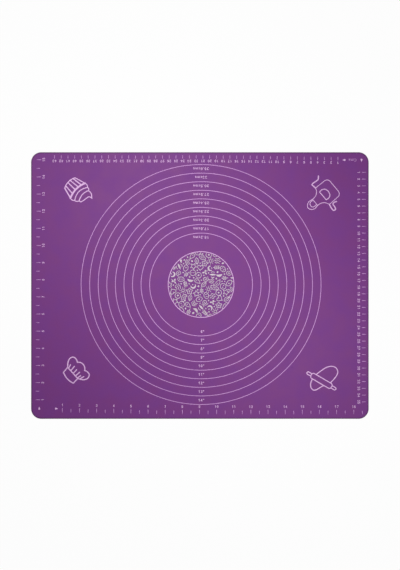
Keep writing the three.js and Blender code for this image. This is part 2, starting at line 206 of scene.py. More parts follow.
def turned(points: np.ndarray, angle: float) -> np.ndarray:
    """The points turned anticlockwise about the origin."""
    c, s = math.cos(angle), math.sin(angle)
    return points @ np.array([[c, s], [-s, c]])


def run(*points: Spot) -> np.ndarray:
    """A path of straight stretches through the points."""
    return np.array(points, float)


def chain(*paths: np.ndarray) -> np.ndarray:
    """Several arrays as one, end to end."""
    return np.concatenate(paths)


def bow(start: Sequence[float], end: Sequence[float], rise: float, steps: int = 12) -> np.ndarray:
    """A parabola from start to end: the chord plus 4 * rise * t * (1 - t) to its left.

    Args:
        start: First point.
        end: Last point.
        rise: Height of the bow over the middle of its chord.
        steps: Number of stretches.

    Returns:
        The points along it.
    """
    a, b = np.asarray(start, float), np.asarray(end, float)
    t = np.linspace(0, 1, steps + 1)[:, None]
    across = np.array([a[1] - b[1], b[0] - a[0]]) / np.hypot(*(b - a))
    return a + (b - a) * t + across * (4 * rise * t * (1 - t))


def arc(start: Sequence[float], end: Sequence[float], rise: float, steps: int = 18) -> np.ndarray:
    """A circle's arc from start to end that stands rise to the left of its chord.

    The radius is (half * half + rise * rise) / (2 * rise), and the sweep 4 * atan(rise / half).

    Args:
        start: First point.
        end: Last point.
        rise: Height of the arc over its chord.
        steps: Number of stretches.

    Returns:
        The points along it.
    """
    a, b = np.asarray(start, float), np.asarray(end, float)
    chord = b - a
    half = np.hypot(*chord) / 2
    radius = (half * half + rise * rise) / (2 * rise)
    across = np.array([-chord[1], chord[0]]) / (2 * half)
    middle = (a + b) / 2 + across * (rise - radius)
    sweep = -4 * math.atan2(rise, half) * np.linspace(0, 1, steps + 1)
    c, s = np.cos(sweep), np.sin(sweep)
    x, y = a - middle
    return middle + np.stack([x * c - y * s, x * s + y * c], axis=1)


def through(knots: Sequence[Sequence[float]], steps: int = 24) -> np.ndarray:
    """A smooth curve through knots: on each stretch the Catmull-Rom cubic of the four around it.

    Args:
        knots: The points to pass through.
        steps: Number of stretches of the result.

    Returns:
        The points along it.
    """
    k = np.asarray(knots, float)
    t = np.linspace(0, len(k) - 1, steps + 1)
    i = np.minimum(t.astype(int), len(k) - 2)
    f = (t - i)[:, None]
    before, a, b, after = k[np.maximum(i - 1, 0)], k[i], k[i + 1], k[np.minimum(i + 2, len(k) - 1)]
    lead, trail = (b - before) / 2, (after - a) / 2
    return ((2 * a - 2 * b + lead + trail) * f + (3 * b - 3 * a - 2 * lead - trail)) * f * f + lead * f + a


def oval(
    x: float, y: float, reach_x: float, reach_y: float, first: float, last: float, steps: int = 10
) -> np.ndarray:
    """Part of an ellipse: middle plus (reach_x * cos, reach_y * sin) of evenly spaced angles.

    Args:
        x: Middle, along.
        y: Middle, across.
        reach_x: Half its breadth.
        reach_y: Half its height.
        first: First angle in degrees.
        last: Last angle in degrees.
        steps: Number of stretches.

    Returns:
        The points along it.
    """
    angle = np.radians(np.linspace(first, last, steps + 1))
    return np.stack([x + reach_x * np.cos(angle), y + reach_y * np.sin(angle)], axis=1)


def loop(radius: float, x: float = 0.0, y: float = 0.0, steps: int = 24) -> np.ndarray:
    """A whole circle for a closed line, without its first point twice."""
    return oval(x, y, radius, radius, 0, 360, steps)[:-1]


# The sheet

def frame_plan(node: str) -> tuple[Spot, Spot]:
    """Where a CAD node lies in plan.

    Args:
        node: The node's name.

    Returns:
        Its middle and its size in millimetres, to a hundredth.
    """
    low, high = (np.array(corner[:2]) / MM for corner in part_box(node))
    return tuple(np.round((low + high) / 2, 2).tolist()), tuple(np.round(high - low, 2).tolist())


@dataclass(frozen=True)
class Cut:
    """Outline of the mat as it is cut, a rectangle with rounded corners about the origin.

    Args:
        length: Its length.
        width: Its width.
        corner: Radius of its corners.
        along_steps: Stretches of the sheet's grid along the straight part.
        across_steps: Stretches of the grid across the straight part.
        corner_steps: Stretches of the grid in a corner.
    """

    length: float
    width: float
    corner: float = 15.0
    along_steps: int = 60
    across_steps: int = 46
    corner_steps: int = 7

    def area(self, inset: float) -> float:
        """Flat area inside the outline drawn in by inset, in square metres.

        Args:
            inset: Distance that the outline is drawn in.

        Returns:
            The area.
        """
        corner = self.corner - inset
        box = (self.length - 2 * inset) * (self.width - 2 * inset)
        return (box - (4 - math.pi) * corner * corner) * MM * MM

    def stations(self, steps: int) -> tuple[np.ndarray, np.ndarray]:
        """Grid lines along one side: through the straight part, and then into either corner.

        Args:
            steps: Number of stretches of the straight part.

        Returns:
            Share of the straight half length, from -1 to 1, and share of the corner, from -1 to 1.
        """
        rise = np.linspace(0, 1, self.corner_steps + 1)[1:]
        straight = np.linspace(-1, 1, steps + 1)
        flat = np.ones(self.corner_steps)
        still = np.zeros(steps + 1)
        return (
            np.concatenate([-flat, straight, flat]),
            np.concatenate([-rise[::-1], still, rise]),
        )

    def grid(self, inset: float) -> np.ndarray:
        """The outline's inside as a grid, with each corner square pressed round.

        In a corner the square's (p, q) goes to (p * sqrt(1 - q * q / 2), q * sqrt(1 - p * p / 2)),
        which takes the unit square to a quarter disc.

        Args:
            inset: Distance that the outline is drawn in.

        Returns:
            Plan points, rows across the mat, columns along it.
        """
        corner = self.corner - inset
        along, p = self.stations(self.along_steps)
        across, q = self.stations(self.across_steps)
        along, across = np.meshgrid(along, across)
        p, q = np.meshgrid(p, q)
        x = along * (self.length / 2 - self.corner) + corner * p * np.sqrt(1 - q * q / 2)
        y = across * (self.width / 2 - self.corner) + corner * q * np.sqrt(1 - p * p / 2)
        return np.stack([x, y], axis=-1)

    def border(self, rows: int, columns: int) -> np.ndarray:
        """Point numbers round the border of such a grid, anticlockwise.

        Args:
            rows: Number of the grid's rows.
            columns: Number of points in a row.

        Returns:
            The numbers.
        """
        number = np.arange(rows * columns).reshape(rows, columns)
        return np.concatenate(
            [number[0, :-1], number[:-1, -1], number[-1, :0:-1], number[:0:-1, 0]]
        )

    def sheet(self, profile: Sequence[Ring]) -> Form:
        """A closed thin sheet: a grid on top, rings over its edge by the profile, a grid below.

        Args:
            profile: Inset, height and share of painted edge shade of each ring, from the top grid to the
                bottom one.

        Returns:
            The sheet, flat.
        """
        top = self.grid(profile[0][0])
        rows, columns = top.shape[:2]
        border = self.border(rows, columns)
        count = rows * columns
        insets = [ring[0] for ring in profile[1:-1]]
        plans = [top.reshape(-1, 2)]
        plans += [self.grid(inset).reshape(-1, 2)[border] for inset in insets]
        plans.append(self.grid(profile[-1][0]).reshape(-1, 2))
        sizes = [len(plan) for plan in plans]
        heights = np.repeat([ring[1] for ring in profile], sizes)
        edge_shades = np.repeat([ring[2] for ring in profile], sizes)
        first = np.cumsum([0] + sizes)[:-1]
        rings = [border] + [start + np.arange(len(border)) for start in first[1:-1]]
        rings.append(first[-1] + border)
        upper, lower = np.stack(rings[:-1]), np.stack(rings[1:])
        edge = np.stack([upper, lower, np.roll(lower, -1, 1), np.roll(upper, -1, 1)], axis=-1)
        face = grid_quads(rows, columns, False, False)
        quads = np.concatenate([face[:, ::-1], edge.reshape(-1, 4), face + first[-1]])
        points = np.column_stack([np.concatenate(plans), heights])
        edge_shades[:count] *= np.isin(np.arange(count), border)
        return Form(points, quads, np.zeros((0, 3), int), edge_shades)


@dataclass(frozen=True)
class Lay:
    """How the mat lies on the table: nearly flat, its ends a little up from being kept rolled.

    Args:
        cut: The mat's outline.
        end_lift: Rise at the middle of either short end.
        corner_lift: Further rise at the corners.
        reach: Distance from the end over which it rises.
        ripple: Height of the long, low waves that are left in the sheet.
        crossed: Length of the crossed waves for each radian, along and across the mat.
        crossed_start: Where the crossed waves start, in radians.
        slanting: Length of the slanting wave for each radian, along and across the mat.
        slanting_start: Where the slanting wave starts, in radians.
        slanting_share: Height of the slanting wave, as a share of the crossed ones.
    """

    cut: Cut
    end_lift: float = 0.35
    corner_lift: float = 0.55
    reach: float = 46.0
    ripple: float = 0.09
    crossed: Spot = (31.0, 43.0)
    crossed_start: Spot = (0.6, 0.9)
    slanting: Spot = (19.0, 27.0)
    slanting_start: float = 2.1
    slanting_share: float = 0.6

    def height(self, x: np.ndarray, y: np.ndarray) -> np.ndarray:
        """Height of the sheet's underside over the table.

        It is a square-law rise over the last reach of the length, more at the corners by the
        fourth power of the place across, plus waves that are never below the table: the product
        of a sine along and a sine across, and a sine of both together.

        Args:
            x: Places along the mat.
            y: Places across the mat.

        Returns:
            Heights in millimetres.
        """
        end = np.clip((np.abs(x) - self.cut.length / 2 + self.reach) / self.reach, 0, 1)
        side = np.abs(y) / (self.cut.width / 2)
        lift = end * end * (self.end_lift + self.corner_lift * side**4)
        along = np.sin(x / self.crossed[0] + self.crossed_start[0])
        across = np.sin(y / self.crossed[1] + self.crossed_start[1])
        slant = np.sin(x / self.slanting[0] - y / self.slanting[1] + self.slanting_start)
        wave = along * across + self.slanting_share * slant
        top = 1 + self.slanting_share
        return lift + self.ripple * (wave + top) / (2 * top)

    def carry(self, form: Form, level: float) -> Form:
        """Sets a flat form on the sheet at a level above its underside.

        Args:
            form: The form, drawn flat.
            level: Its level over the sheet's underside.

        Returns:
            The form on the sheet.
        """
        points = form.points.copy()
        points[:, 2] += level + self.height(points[:, 0], points[:, 1])
        return Form(points, form.quads, form.triangles, form.lip)


# Finishes

class NodeBench:
    """A node tree being put together."""

    def __init__(self, tree: bpy.types.NodeTree) -> None:
        """Empties the tree."""
        self.tree = tree
        tree.nodes.clear()

    def node(self, kind: str, inputs: dict | None = None, **settings: object) -> bpy.types.Node:
        """Adds a node.

        Args:
            kind: Blender's name of the node type.
            inputs: Socket names or numbers, each with a constant or an output to join to it.
            **settings: The node's own settings.

        Returns:
            The node.
        """
        made = self.tree.nodes.new(kind)
        for name, value in settings.items():
            setattr(made, name, value)
        for name, value in (inputs or {}).items():
            if isinstance(value, bpy.types.NodeSocket):
                self.tree.links.new(value, made.inputs[name])
            else:
                made.inputs[name].default_value = value
        return made

    def place(self) -> bpy.types.NodeSocket:
        """The point's place in the frame, in metres."""
        return self.node("ShaderNodeTexCoord").outputs["Object"]

    def noise(self, size: float, octaves: float) -> bpy.types.NodeSocket:
        """Noise from 0 to 1, its blotches of a size in millimetres, with octaves of finer noise."""
        inputs = {"Vector": self.place(), "Scale": 1 / (size * MM), "Detail": octaves}
        return self.node("ShaderNodeTexNoise", inputs).outputs[0]

    def clouds(self, size: float) -> bpy.types.NodeSocket:
        """Soft clouds of a size in millimetres."""
        return self.noise(size, 3.0)

    def grain(self, size: float) -> bpy.types.NodeSocket:
        """Fine grain of a size in millimetres."""
        return self.noise(size, 2.0)

    def ribs(self, pitch: float, direction: str, turn: float = 0.0) -> bpy.types.NodeSocket:
        """Even ribs, as a sine of the place.

        Args:
            pitch: Distance between ribs in millimetres.
            direction: Axis that they follow one another along, X or Y.
            turn: Turn of the pattern in plan, in radians.

        Returns:
            Their height, from 0 to 1.
        """
        turns = {"Vector": self.place(), "Rotation": (0, 0, turn)}
        place = self.node("ShaderNodeMapping", turns).outputs[0]
        # At a scale of 1, the wave texture has one rib in every tenth of pi
        inputs = {"Vector": place, "Scale": math.pi / 10 / (pitch * MM), "Distortion": 0.0}
        settings = {"wave_type": "BANDS", "bands_direction": direction, "wave_profile": "SIN"}
        return self.node("ShaderNodeTexWave", inputs, **settings).outputs[1]

    def sum(self, operation: str, a: object, b: object) -> bpy.types.NodeSocket:
        """One step of arithmetic on two values."""
        return self.node("ShaderNodeMath", {0: a, 1: b}, operation=operation).outputs[0]

    def span(self, value: bpy.types.NodeSocket, source: Range, target: Range) -> bpy.types.NodeSocket:
        """The value moved from one range to another, and held at its ends.

        Args:
            value: The value.
            source: Range that it comes in.
            target: Range that it goes to.

        Returns:
            The new value.
        """
        names = ("From Min", "From Max", "To Min", "To Max")
        ranges = dict(zip(names, (*source, *target)))
        return self.node("ShaderNodeMapRange", {"Value": value, **ranges}).outputs[0]

    def tint(self, share: bpy.types.NodeSocket, a: object, b: object) -> bpy.types.NodeSocket:
        """A colour between two, by a share; a mix of colours has them at inputs 6 and 7 and output 2.

        Args:
            share: Share of the second.
            a: First colour, or an output.
            b: Second colour, or an output.

        Returns:
            The colour.
        """
        mixed = self.node("ShaderNodeMix", data_type="RGBA")
        for number, value in ((0, share), (6, a), (7, b)):
            if isinstance(value, bpy.types.NodeSocket):
                self.tree.links.new(value, mixed.inputs[number])
            else:
                mixed.inputs[number].default_value = (*value, 1.0)
        return mixed.outputs[2]

    def bump(self, height: bpy.types.NodeSocket, depth: float, strength: float) -> bpy.types.NodeSocket:
        """Surface normals of a relief whose full height is depth, in millimetres."""
        relief = {"Height": height, "Distance": depth * MM, "Strength": strength}
        return self.node("ShaderNodeBump", relief).outputs[0]

    def surface(self, inputs: dict) -> None:
        """Ends the tree in one principled surface with these inputs."""
        shader = self.node("ShaderNodeBsdfPrincipled", inputs)
        self.node("ShaderNodeOutputMaterial", {"Surface": shader.outputs[0]})


@dataclass(frozen=True)
class Finish:
    """What a piece is made of.

    Args:
        name: Name of its material.
        slot: The record's slot that it belongs to; not used.
    """

    name: str
    slot: Slot

    def nodes(self, bench: NodeBench) -> None:
        """Puts the finish's nodes together."""
        raise NotImplementedError

    def material(self) -> bpy.types.Material:
        """The finish as a material, made once and then shared.

        Returns:
            The material.
        """
        found = bpy.data.materials.get(self.name)
        if found is None:
            found = bpy.data.materials.new(self.name)
            found.use_nodes = True
            self.nodes(NodeBench(found.node_tree))
        return found


@dataclass(frozen=True)
class Silicone(Finish):
    """Silicone rubber, with clouds in its pigment and a fine grain.

    Args:
        pale: Its colour where the clouds are palest.
        deep: Its colour where they are deepest.
        cloud: Size of the clouds in millimetres.
        speck: Size of the grain in millimetres.
        roughness: Range of its roughness.
        relief: Depth of its relief in millimetres.
        strength: Strength of that relief.
        specular: Strength of its reflection.
        index: Its refractive index.
    """

    pale: Colour
    deep: Colour
    cloud: float
    speck: float
    roughness: Range
    relief: float
    strength: float
    specular: float = 0.3
    index: float = 1.41

    def skin(
        self,
        bench: NodeBench,
        colour: bpy.types.NodeSocket,
        roughness: bpy.types.NodeSocket,
        height: bpy.types.NodeSocket,
    ) -> None:
        """Ends the tree in a silicone surface.

        Args:
            bench: The node tree.
            colour: Its colour.
            roughness: Noise that its roughness follows.
            height: Its relief, from 0 to 1.
        """
        bench.surface(
            {
                "Base Color": colour,
                "Roughness": bench.span(roughness, MIDST, self.roughness),
                "Specular IOR Level": self.specular,
                "IOR": self.index,
                "Normal": bench.bump(height, self.relief, self.strength),
            }
        )


@dataclass(frozen=True)
class KneadingSilicone(Silicone):
    """Satin silicone: faint clouds in the pigment, the cloth just telling through, painted shade at the cut.
    """

    name: str = "kneading_silicone_satin"
    slot: Slot = Slot.KNEADING
    pale: Colour = (0.194, 0.0432, 0.264)
    deep: Colour = (0.204, 0.0421, 0.238)
    # Painted shade: the colour that the border at the cut edge is darkened towards
    edge: Colour = (0.115, 0.031, 0.138)
    cloud: float = 24.0
    cloud_range: Range = (0.32, 0.68)
    speck: float = 0.5
    speck_range: Range = (0.4, 0.75)
    speck_share: Range = (0.0, 0.2)
    weave: float = 0.9
    roughness: Range = (0.5, 0.58)
    relief: float = 0.02
    strength: float = 0.5

    def nodes(self, bench: NodeBench) -> None:
        """Clouds and fine grain in the colour, painted shade along the cut edge, weave and grain in the
        relief.

        Args:
            bench: The node tree.
        """
        clouds, grain = bench.clouds(self.cloud), bench.grain(self.speck)
        weave = bench.sum("MULTIPLY", bench.ribs(self.weave, "X"), bench.ribs(self.weave, "Y"))
        cloudy = bench.tint(bench.span(clouds, self.cloud_range, WHOLE), self.deep, self.pale)
        grainy = bench.tint(bench.span(grain, self.speck_range, self.speck_share), cloudy, self.deep)
        # Painted shade: the border at the cut edge darkens towards the edge colour
        lip = bench.node("ShaderNodeAttribute", attribute_name="lip").outputs["Fac"]
        self.skin(bench, bench.tint(lip, grainy, self.edge), clouds, bench.sum("ADD", weave, grain))


@dataclass(frozen=True)
class UndersideSilicone(Silicone):
    """Matt silicone with a fine pressed lattice, which keeps the mat from sliding."""

    name: str = "underside_silicone_matt"
    slot: Slot = Slot.UNDERSIDE
    pale: Colour = (0.168, 0.040, 0.214)
    deep: Colour = (0.150, 0.035, 0.184)
    # Painted highlight: the paler colour on the lattice's crests
    crest: Colour = (0.215, 0.060, 0.262)
    pitch: float = 2.2
    crest_range: Range = (0.72, 0.98)
    crest_share: Range = (0.35, 0.75)
    cloud: float = 30.0
    speck: float = 0.4
    speck_height: Range = (0.0, 0.3)
    roughness: Range = (0.62, 0.74)
    relief: float = 0.12
    strength: float = 0.8

    def nodes(self, bench: NodeBench) -> None:
        """A lattice of two crossed sets of ribs, with a painted highlight on their crests broken up by
        grain, and clouds in the colour.

        Args:
            bench: The node tree.
        """
        clouds, grain = bench.clouds(self.cloud), bench.grain(self.speck)
        ribs = [bench.ribs(self.pitch, axis, QUARTER / 2) for axis in ("X", "Y")]
        raised = bench.span(bench.sum("MAXIMUM", *ribs), self.crest_range, WHOLE)
        # Painted highlight on the raised crests, broken up by grain
        crest_highlight = bench.sum("MULTIPLY", raised, bench.span(grain, MIDST, self.crest_share))
        tone = bench.tint(bench.span(clouds, MIDST, WHOLE), self.deep, self.pale)
        height = bench.sum("ADD", raised, bench.span(grain, WHOLE, self.speck_height))
        self.skin(bench, bench.tint(crest_highlight, tone, self.crest), grain, height)


@dataclass(frozen=True)
class WovenGlass(Finish):
    """Plain-woven glass cloth: bundles that pass over and under one another."""

    name: str = "glass_cloth_weave"
    slot: Slot = Slot.CLOTH
    # Painted highlight and painted shade: lighter crests and darker hollows of the weave
    crest: Colour = (0.80, 0.82, 0.78)
    hollow: Colour = (0.52, 0.55, 0.52)
    pitch: float = 0.9
    fibre: float = 0.2
    fibre_share: Range = (0.0, 0.3)
    roughness: Range = (0.5, 0.7)
    sheen: float = 0.15
    relief: float = 0.05
    strength: float = 0.7

    def nodes(self, bench: NodeBench) -> None:
        """Crests where the warp's and the weft's half-pitch ribs are high together or low together, painted
        lighter, with painted shade in the hollows.

        Args:
            bench: The node tree.
        """
        warp, weft = (bench.ribs(2 * self.pitch, axis) for axis in ("X", "Y"))
        over = bench.sum("ABSOLUTE", bench.sum("SUBTRACT", warp, weft), 0.0)
        fibre = bench.grain(self.fibre)
        # The weave's crests painted lighter and its hollows darker, as highlight and shade
        tone = bench.tint(over, self.hollow, self.crest)
        bench.surface(
            {
                "Base Color": bench.tint(bench.span(fibre, MIDST, self.fibre_share), tone, self.hollow),
                "Roughness": bench.span(fibre, MIDST, self.roughness),
                "Sheen Weight": self.sheen,
                "Normal": bench.bump(bench.sum("ADD", over, fibre), self.relief, self.strength),
            }
        )


@dataclass(frozen=True)
class PrintInk(Finish):
    """Cured screen ink: a little thinner in places, where the mat's colour comes through."""

    name: str = "print_ink_lilac"
    slot: Slot = Slot.INK
    full: Colour = (0.87, 0.54, 0.90)
    thin: Colour = (0.75, 0.445, 0.795)
    patch: float = 7.0
    patch_range: Range = (0.35, 0.75)
    speck: float = 0.6
    speck_share: Range = (-0.25, 0.25)
    screen: float = 0.25
    roughness: Range = (0.48, 0.6)
    specular: float = 0.35
    relief: float = 0.012
    strength: float = 0.5

    def nodes(self, bench: NodeBench) -> None:
        """Thin patches by two sizes of noise, and a fine screen's grain in the relief.

        Args:
            bench: The node tree.
        """
        specks = bench.span(bench.grain(self.speck), WHOLE, self.speck_share)
        patches = bench.sum("ADD", bench.clouds(self.patch), specks)
        thinned = bench.span(patches, self.patch_range, WHOLE)
        bench.surface(
            {
                "Base Color": bench.tint(thinned, self.full, self.thin),
                "Roughness": bench.span(patches, MIDST, self.roughness),
                "Specular IOR Level": self.specular,
                "Normal": bench.bump(bench.grain(self.screen), self.relief, self.strength),
            }
        )


@dataclass(frozen=True)
class HairlineInk(PrintInk):
    """The same ink in a hairline, where more of the mat's colour comes through."""

    name: str = "print_ink_hairline"
    full: Colour = (0.71, 0.365, 0.78)
    thin: Colour = (0.61, 0.30, 0.68)


@dataclass(frozen=True)
class PanelInk(PrintInk):
    """The same ink laid from a finer screen, greyer because less of it stands on the mat."""

    name: str = "print_ink_fine_screen"
    full: Colour = (0.69, 0.585, 0.67)
    thin: Colour = (0.54, 0.45, 0.52)


# Pieces

@dataclass
class MatPart:
    """Something on the mat: turns its forms into dressed pieces that ride on it.

    Args:
        lay: How the sheet lies, which every piece follows.
    """

    lay: Lay

    @property
    def cut(self) -> Cut:
        """The mat's outline."""
        return self.lay.cut

    def piece(self, name: str, form: Form, finish: Finish, nodes: Sequence[str]) -> bpy.types.Object:
        """Makes a form's mesh, dresses it and puts it on the mat.

        Args:
            name: The piece's name.
            form: Its shape in millimetres, in the frame.
            finish: What it is made of.
            nodes: CAD nodes that it stands for.

        Returns:
            The piece.
        """
        mesh = bpy.data.meshes.new(name)
        corners = chain(form.quads.ravel(), form.triangles.ravel())
        sizes = np.repeat([4, 3], [len(form.quads), len(form.triangles)])
        mesh.vertices.add(len(form.points))
        mesh.vertices.foreach_set("co", (form.points * MM).astype(np.float32).ravel())
        mesh.loops.add(len(corners))
        mesh.loops.foreach_set("vertex_index", corners.astype(np.int32))
        mesh.polygons.add(len(sizes))
        mesh.polygons.foreach_set("loop_start", (np.cumsum(sizes) - sizes).astype(np.int32))
        mesh.polygons.foreach_set("use_smooth", np.ones(len(sizes), bool))
        if form.lip is not None:
            lip = mesh.attributes.new("lip", "FLOAT", "POINT")
            lip.data.foreach_set("value", form.lip.astype(np.float32))
        mesh.update(calc_edges=True)
        mesh.validate()
        mesh.materials.append(finish.material())
        made = bpy.data.objects.new(name, mesh)
        bpy.context.scene.collection.objects.link(made)
        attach(made, BODY)
        if nodes:
            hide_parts(*nodes)
        LOG.info("%s: %d faces, stands for %s", name, len(sizes), ", ".join(nodes) or "nothing in the CAD")
        return made


Layers = tuple[bpy.types.Object, bpy.types.Object, bpy.types.Object]


@dataclass
class Laminate(MatPart):
    """The sheet itself: an underside skin with a shallow tray, glass cloth in it, a face over both.

    Args:
        under_skin: Thickness below the cloth.
        cloth: The cloth's thickness.
        face_skin: Thickness over the cloth.
        seal: Breadth of the border where the skins meet beyond the cloth.
        clearance: Gap between the cloth and the tray's wall.
        round_edge: Rounding of the cut edge.
        round_angles: Angles of that rounding's rings, in degrees.
        lip: Breadth of the border that is darkened by painted shade.
        lip_core: Share of that breadth that gets the full painted shade.
        hem: Distance from a square edge to the first line of the grid inside it.
    """

    under_skin: float = 0.25
    cloth: float = 0.15
    face_skin: float = 0.3
    seal: float = 4.0
    clearance: float = 0.3
    round_edge: float = 0.1
    round_angles: tuple[float, ...] = (0, 30, 60, 90)
    lip: float = 1.5
    lip_core: float = 0.6
    hem: float = 1.0

    @property
    def seam(self) -> float:
        """Level where the two skins meet, which is the cloth's top."""
        return self.under_skin + self.cloth

    @property
    def face(self) -> float:
        """Level of the kneading face."""
        return self.seam + self.face_skin

    @property
    def cloth_inset(self) -> float:
        """Distance from the cut edge to the cloth."""
        return self.seal + self.clearance

    def shoulder(self, level: float, drop: float) -> list[Ring]:
        """A quarter round over the cut edge, from a flat at a level towards a drop from it.

        Args:
            level: Height of the flat.
            drop: Signed height of the round, down for a top edge and up for a bottom one.

        Returns:
            Rings of the profile, from the flat outwards.
        """
        angle = np.radians(self.round_angles)
        insets = self.round_edge * (1 - np.sin(angle))
        heights = level + drop * (1 - np.cos(angle))
        return [(inset, height, 1.0) for inset, height in zip(insets, heights)]

    def kneading_skin(self) -> Form:
        """The face: a flat sheet, its border with painted edge shade, a rounded top edge and a sharp seam
        below.

        Returns:
            The skin, flat.
        """
        inner, core = 2 * self.lip, self.lip_core * self.lip
        # The border's rings take the painted edge shade, from none inside to full at the edge
        border = [(inner, self.face, 0.0), (self.lip, self.face, 0.5), (core, self.face, 1.0)]
        edge = self.shoulder(self.face, -self.round_edge)
        return self.cut.sheet(border + edge + [(0.0, self.seam, 1.0), (inner, self.seam, 0.0)])

    def cloth_sheet(self) -> Form:
        """The cloth: a flat sheet with square edges that lies in the tray.

        Returns:
            The cloth, flat.
        """
        outer, low, top = self.cloth_inset, self.under_skin, self.seam
        inner = outer + self.hem
        return self.cut.sheet([(inner, top, 0), (outer, top, 0), (outer, low, 0), (inner, low, 0)])

    def tray(self) -> Form:
        """The underside skin: the tray's floor, its wall, the sealing border, the edge, the base.

        Returns:
            The skin, flat.
        """
        low, wall = self.under_skin, self.seal
        floor = [(wall + self.hem, low, 0), (wall, low, 0), (wall, self.seam, 0)]
        edge = [(0.0, self.seam, 1.0)] + self.shoulder(0.0, self.round_edge)[::-1]
        return self.cut.sheet(floor + edge + [(2 * self.lip, 0.0, 0.0)])

    def build(self) -> Layers:
        """Makes the three layers.

        Returns:
            The kneading face, the cloth and the underside skin.
        """
        layers = (
            ("kneading_face", self.kneading_skin(), KneadingSilicone()),
            ("glass_cloth", self.cloth_sheet(), WovenGlass()),
            ("under_skin", self.tray(), UndersideSilicone()),
        )
        return tuple(
            self.piece(f"mat_{node}", self.lay.carry(form, 0), finish, [node])
            for node, form, finish in layers
        )

    def declare(self, layers: Layers, prints: Sequence[bpy.types.Object]) -> None:
        """Works out the sizes and areas that the layers are cut to, and uses none of them.

        Args:
            layers: The kneading face, the cloth and the underside skin; not used.
            prints: The pieces of ink on the face; not used.
        """
        inset = self.cloth_inset
        whole = (self.cut.length * MM, self.cut.width * MM)
        core = ((self.cut.length - 2 * inset) * MM, (self.cut.width - 2 * inset) * MM)
        self.cut.area(0)
        self.cut.area(inset)
        self.cut.area(0)


# Ink

@dataclass(frozen=True)
class InkPen:
    """A line of ink that stands on the face: a low crowned profile carried along a path.

    Args:
        width: Breadth of the line.
        height: Height of its crown.
        sink: Depth that its foot reaches into the face, so that no gap shows under it.
        mitre: Most that a step to the side is lengthened at a corner.
        shoulder: Place and height of a crowned profile's shoulder, as shares of the line's.
        flat: Half breadth of a flat profile's top, as a share of the line's.
        cap_angles: Angles of a round end, from its tip, in degrees.
        cap_share: Height of an end's middle, as a share of the line's.
    """

    width: float
    height: float = 0.08
    sink: float = 0.02
    mitre: float = 2.0
    shoulder: Spot = (0.78, 0.75)
    flat: float = 0.75
    cap_angles: tuple[float, ...] = (80, 55, 28)
    cap_share: float = 0.3

    def sides(self, path: np.ndarray, closed: bool) -> np.ndarray:
        """Steps to the left at each point, longer at a corner so that the line keeps its breadth.

        They are the mean of the two neighbouring stretches' left-hand units, divided by its share
        along either of them, at most as far as the mitre goes.

        Args:
            path: Plan points.
            closed: Whether the last point joins the first.

        Returns:
            One step for each point.
        """
        ahead = np.roll(path, -1, axis=0) - path
        back = path - np.roll(path, 1, axis=0)
        if not closed:
            ahead[-1], back[0] = back[-1], ahead[0]
        ahead = ahead / np.linalg.norm(ahead, axis=1, keepdims=True)
        back = back / np.linalg.norm(back, axis=1, keepdims=True)
        mean = ahead + back
        mean = mean / np.maximum(np.linalg.norm(mean, axis=1, keepdims=True), TINY)
        share = np.maximum(np.sum(mean * ahead, axis=1, keepdims=True), 1 / self.mitre)
        return np.stack([-mean[:, 1], mean[:, 0]], axis=1) / share

    def rounded(
        self, path: np.ndarray, sides: np.ndarray, half: np.ndarray
    ) -> tuple[np.ndarray, np.ndarray, np.ndarray]:
        """Adds round ends, which go on by the sine of the cap's angles and narrow by the cosine.

        Args:
            path: Plan points.
            sides: Step to the left at each of them.
            half: Half breadth at each of them.

        Returns:
            The three with the ends added.
        """
        angle = np.radians(self.cap_angles)
        count = len(angle)
        starts = np.array([-sides[0, 1], sides[0, 0]]) * half[0]
        stops = np.array([sides[-1, 1], -sides[-1, 0]]) * half[-1]
        before = path[:1] + np.outer(np.sin(angle), starts)
        after = path[-1:] + np.outer(np.sin(angle[::-1]), stops)
        return (
            chain(before, path, after),
            chain(sides[[0] * count], sides, sides[[-1] * count]),
            chain(half[0] * np.cos(angle), half, half[-1] * np.cos(angle[::-1])),
        )

    def section(self, crown: bool) -> np.ndarray:
        """Profile of the line from foot to foot: shares of its half breadth, and heights.

        Args:
            crown: Whether it has a crown, or only a flat top.

        Returns:
            One row for each corner.
        """
        place, rise = self.shoulder[0], self.shoulder[1] * self.height
        top = [(-place, rise), (0, self.height), (place, rise)]
        if not crown:
            top = [(-self.flat, self.height), (self.flat, self.height)]
        return run((-1, -self.sink), *top, (1, -self.sink))

    def line(
        self,
        path: np.ndarray,
        closed: bool = False,
        ends: Ends = Ends.ROUND,
        breadth: np.ndarray | None = None,
        crown: bool = True,
    ) -> Form:
        """Carries the profile along a path: each point plus its step times the profile's shares.

        Args:
            path: Plan points.
            closed: Whether the last point joins the first.
            ends: How an open line ends.
            breadth: Breadth at each point, where it isn't the pen's own.
            crown: Whether the profile has a crown, or only a flat top.

        Returns:
            The closed line, its foot just below height 0.
        """
        half = np.full(len(path), self.width) / 2 if breadth is None else np.asarray(breadth, float) / 2
        sides = self.sides(path, closed)
        if not closed and ends is Ends.ROUND:
            path, sides, half = self.rounded(path, sides, half)
        section = self.section(crown)
        rows, columns = len(path), len(section)
        plan = path[:, None, :] + sides[:, None, :] * half[:, None, None] * section[None, :, :1]
        level = np.broadcast_to(section[None, :, 1:], (rows, columns, 1))
        points = np.concatenate([plan, level], axis=2).reshape(-1, 3)
        quads = grid_quads(rows, columns, closed, True)
        if closed:
            return Form(points, quads, np.zeros((0, 3), int))
        middles = np.column_stack([path[[0, -1]], np.full(2, self.cap_share * self.height)])
        around = np.arange(columns)
        beside = np.roll(around, -1)
        count = rows * columns
        last = count - columns
        first_cap = np.stack([np.full(columns, count), around, beside], axis=1)
        last_cap = np.stack([np.full(columns, count + 1), last + beside, last + around], axis=1)
        return Form(chain(points, middles), quads, chain(first_cap, last_cap))


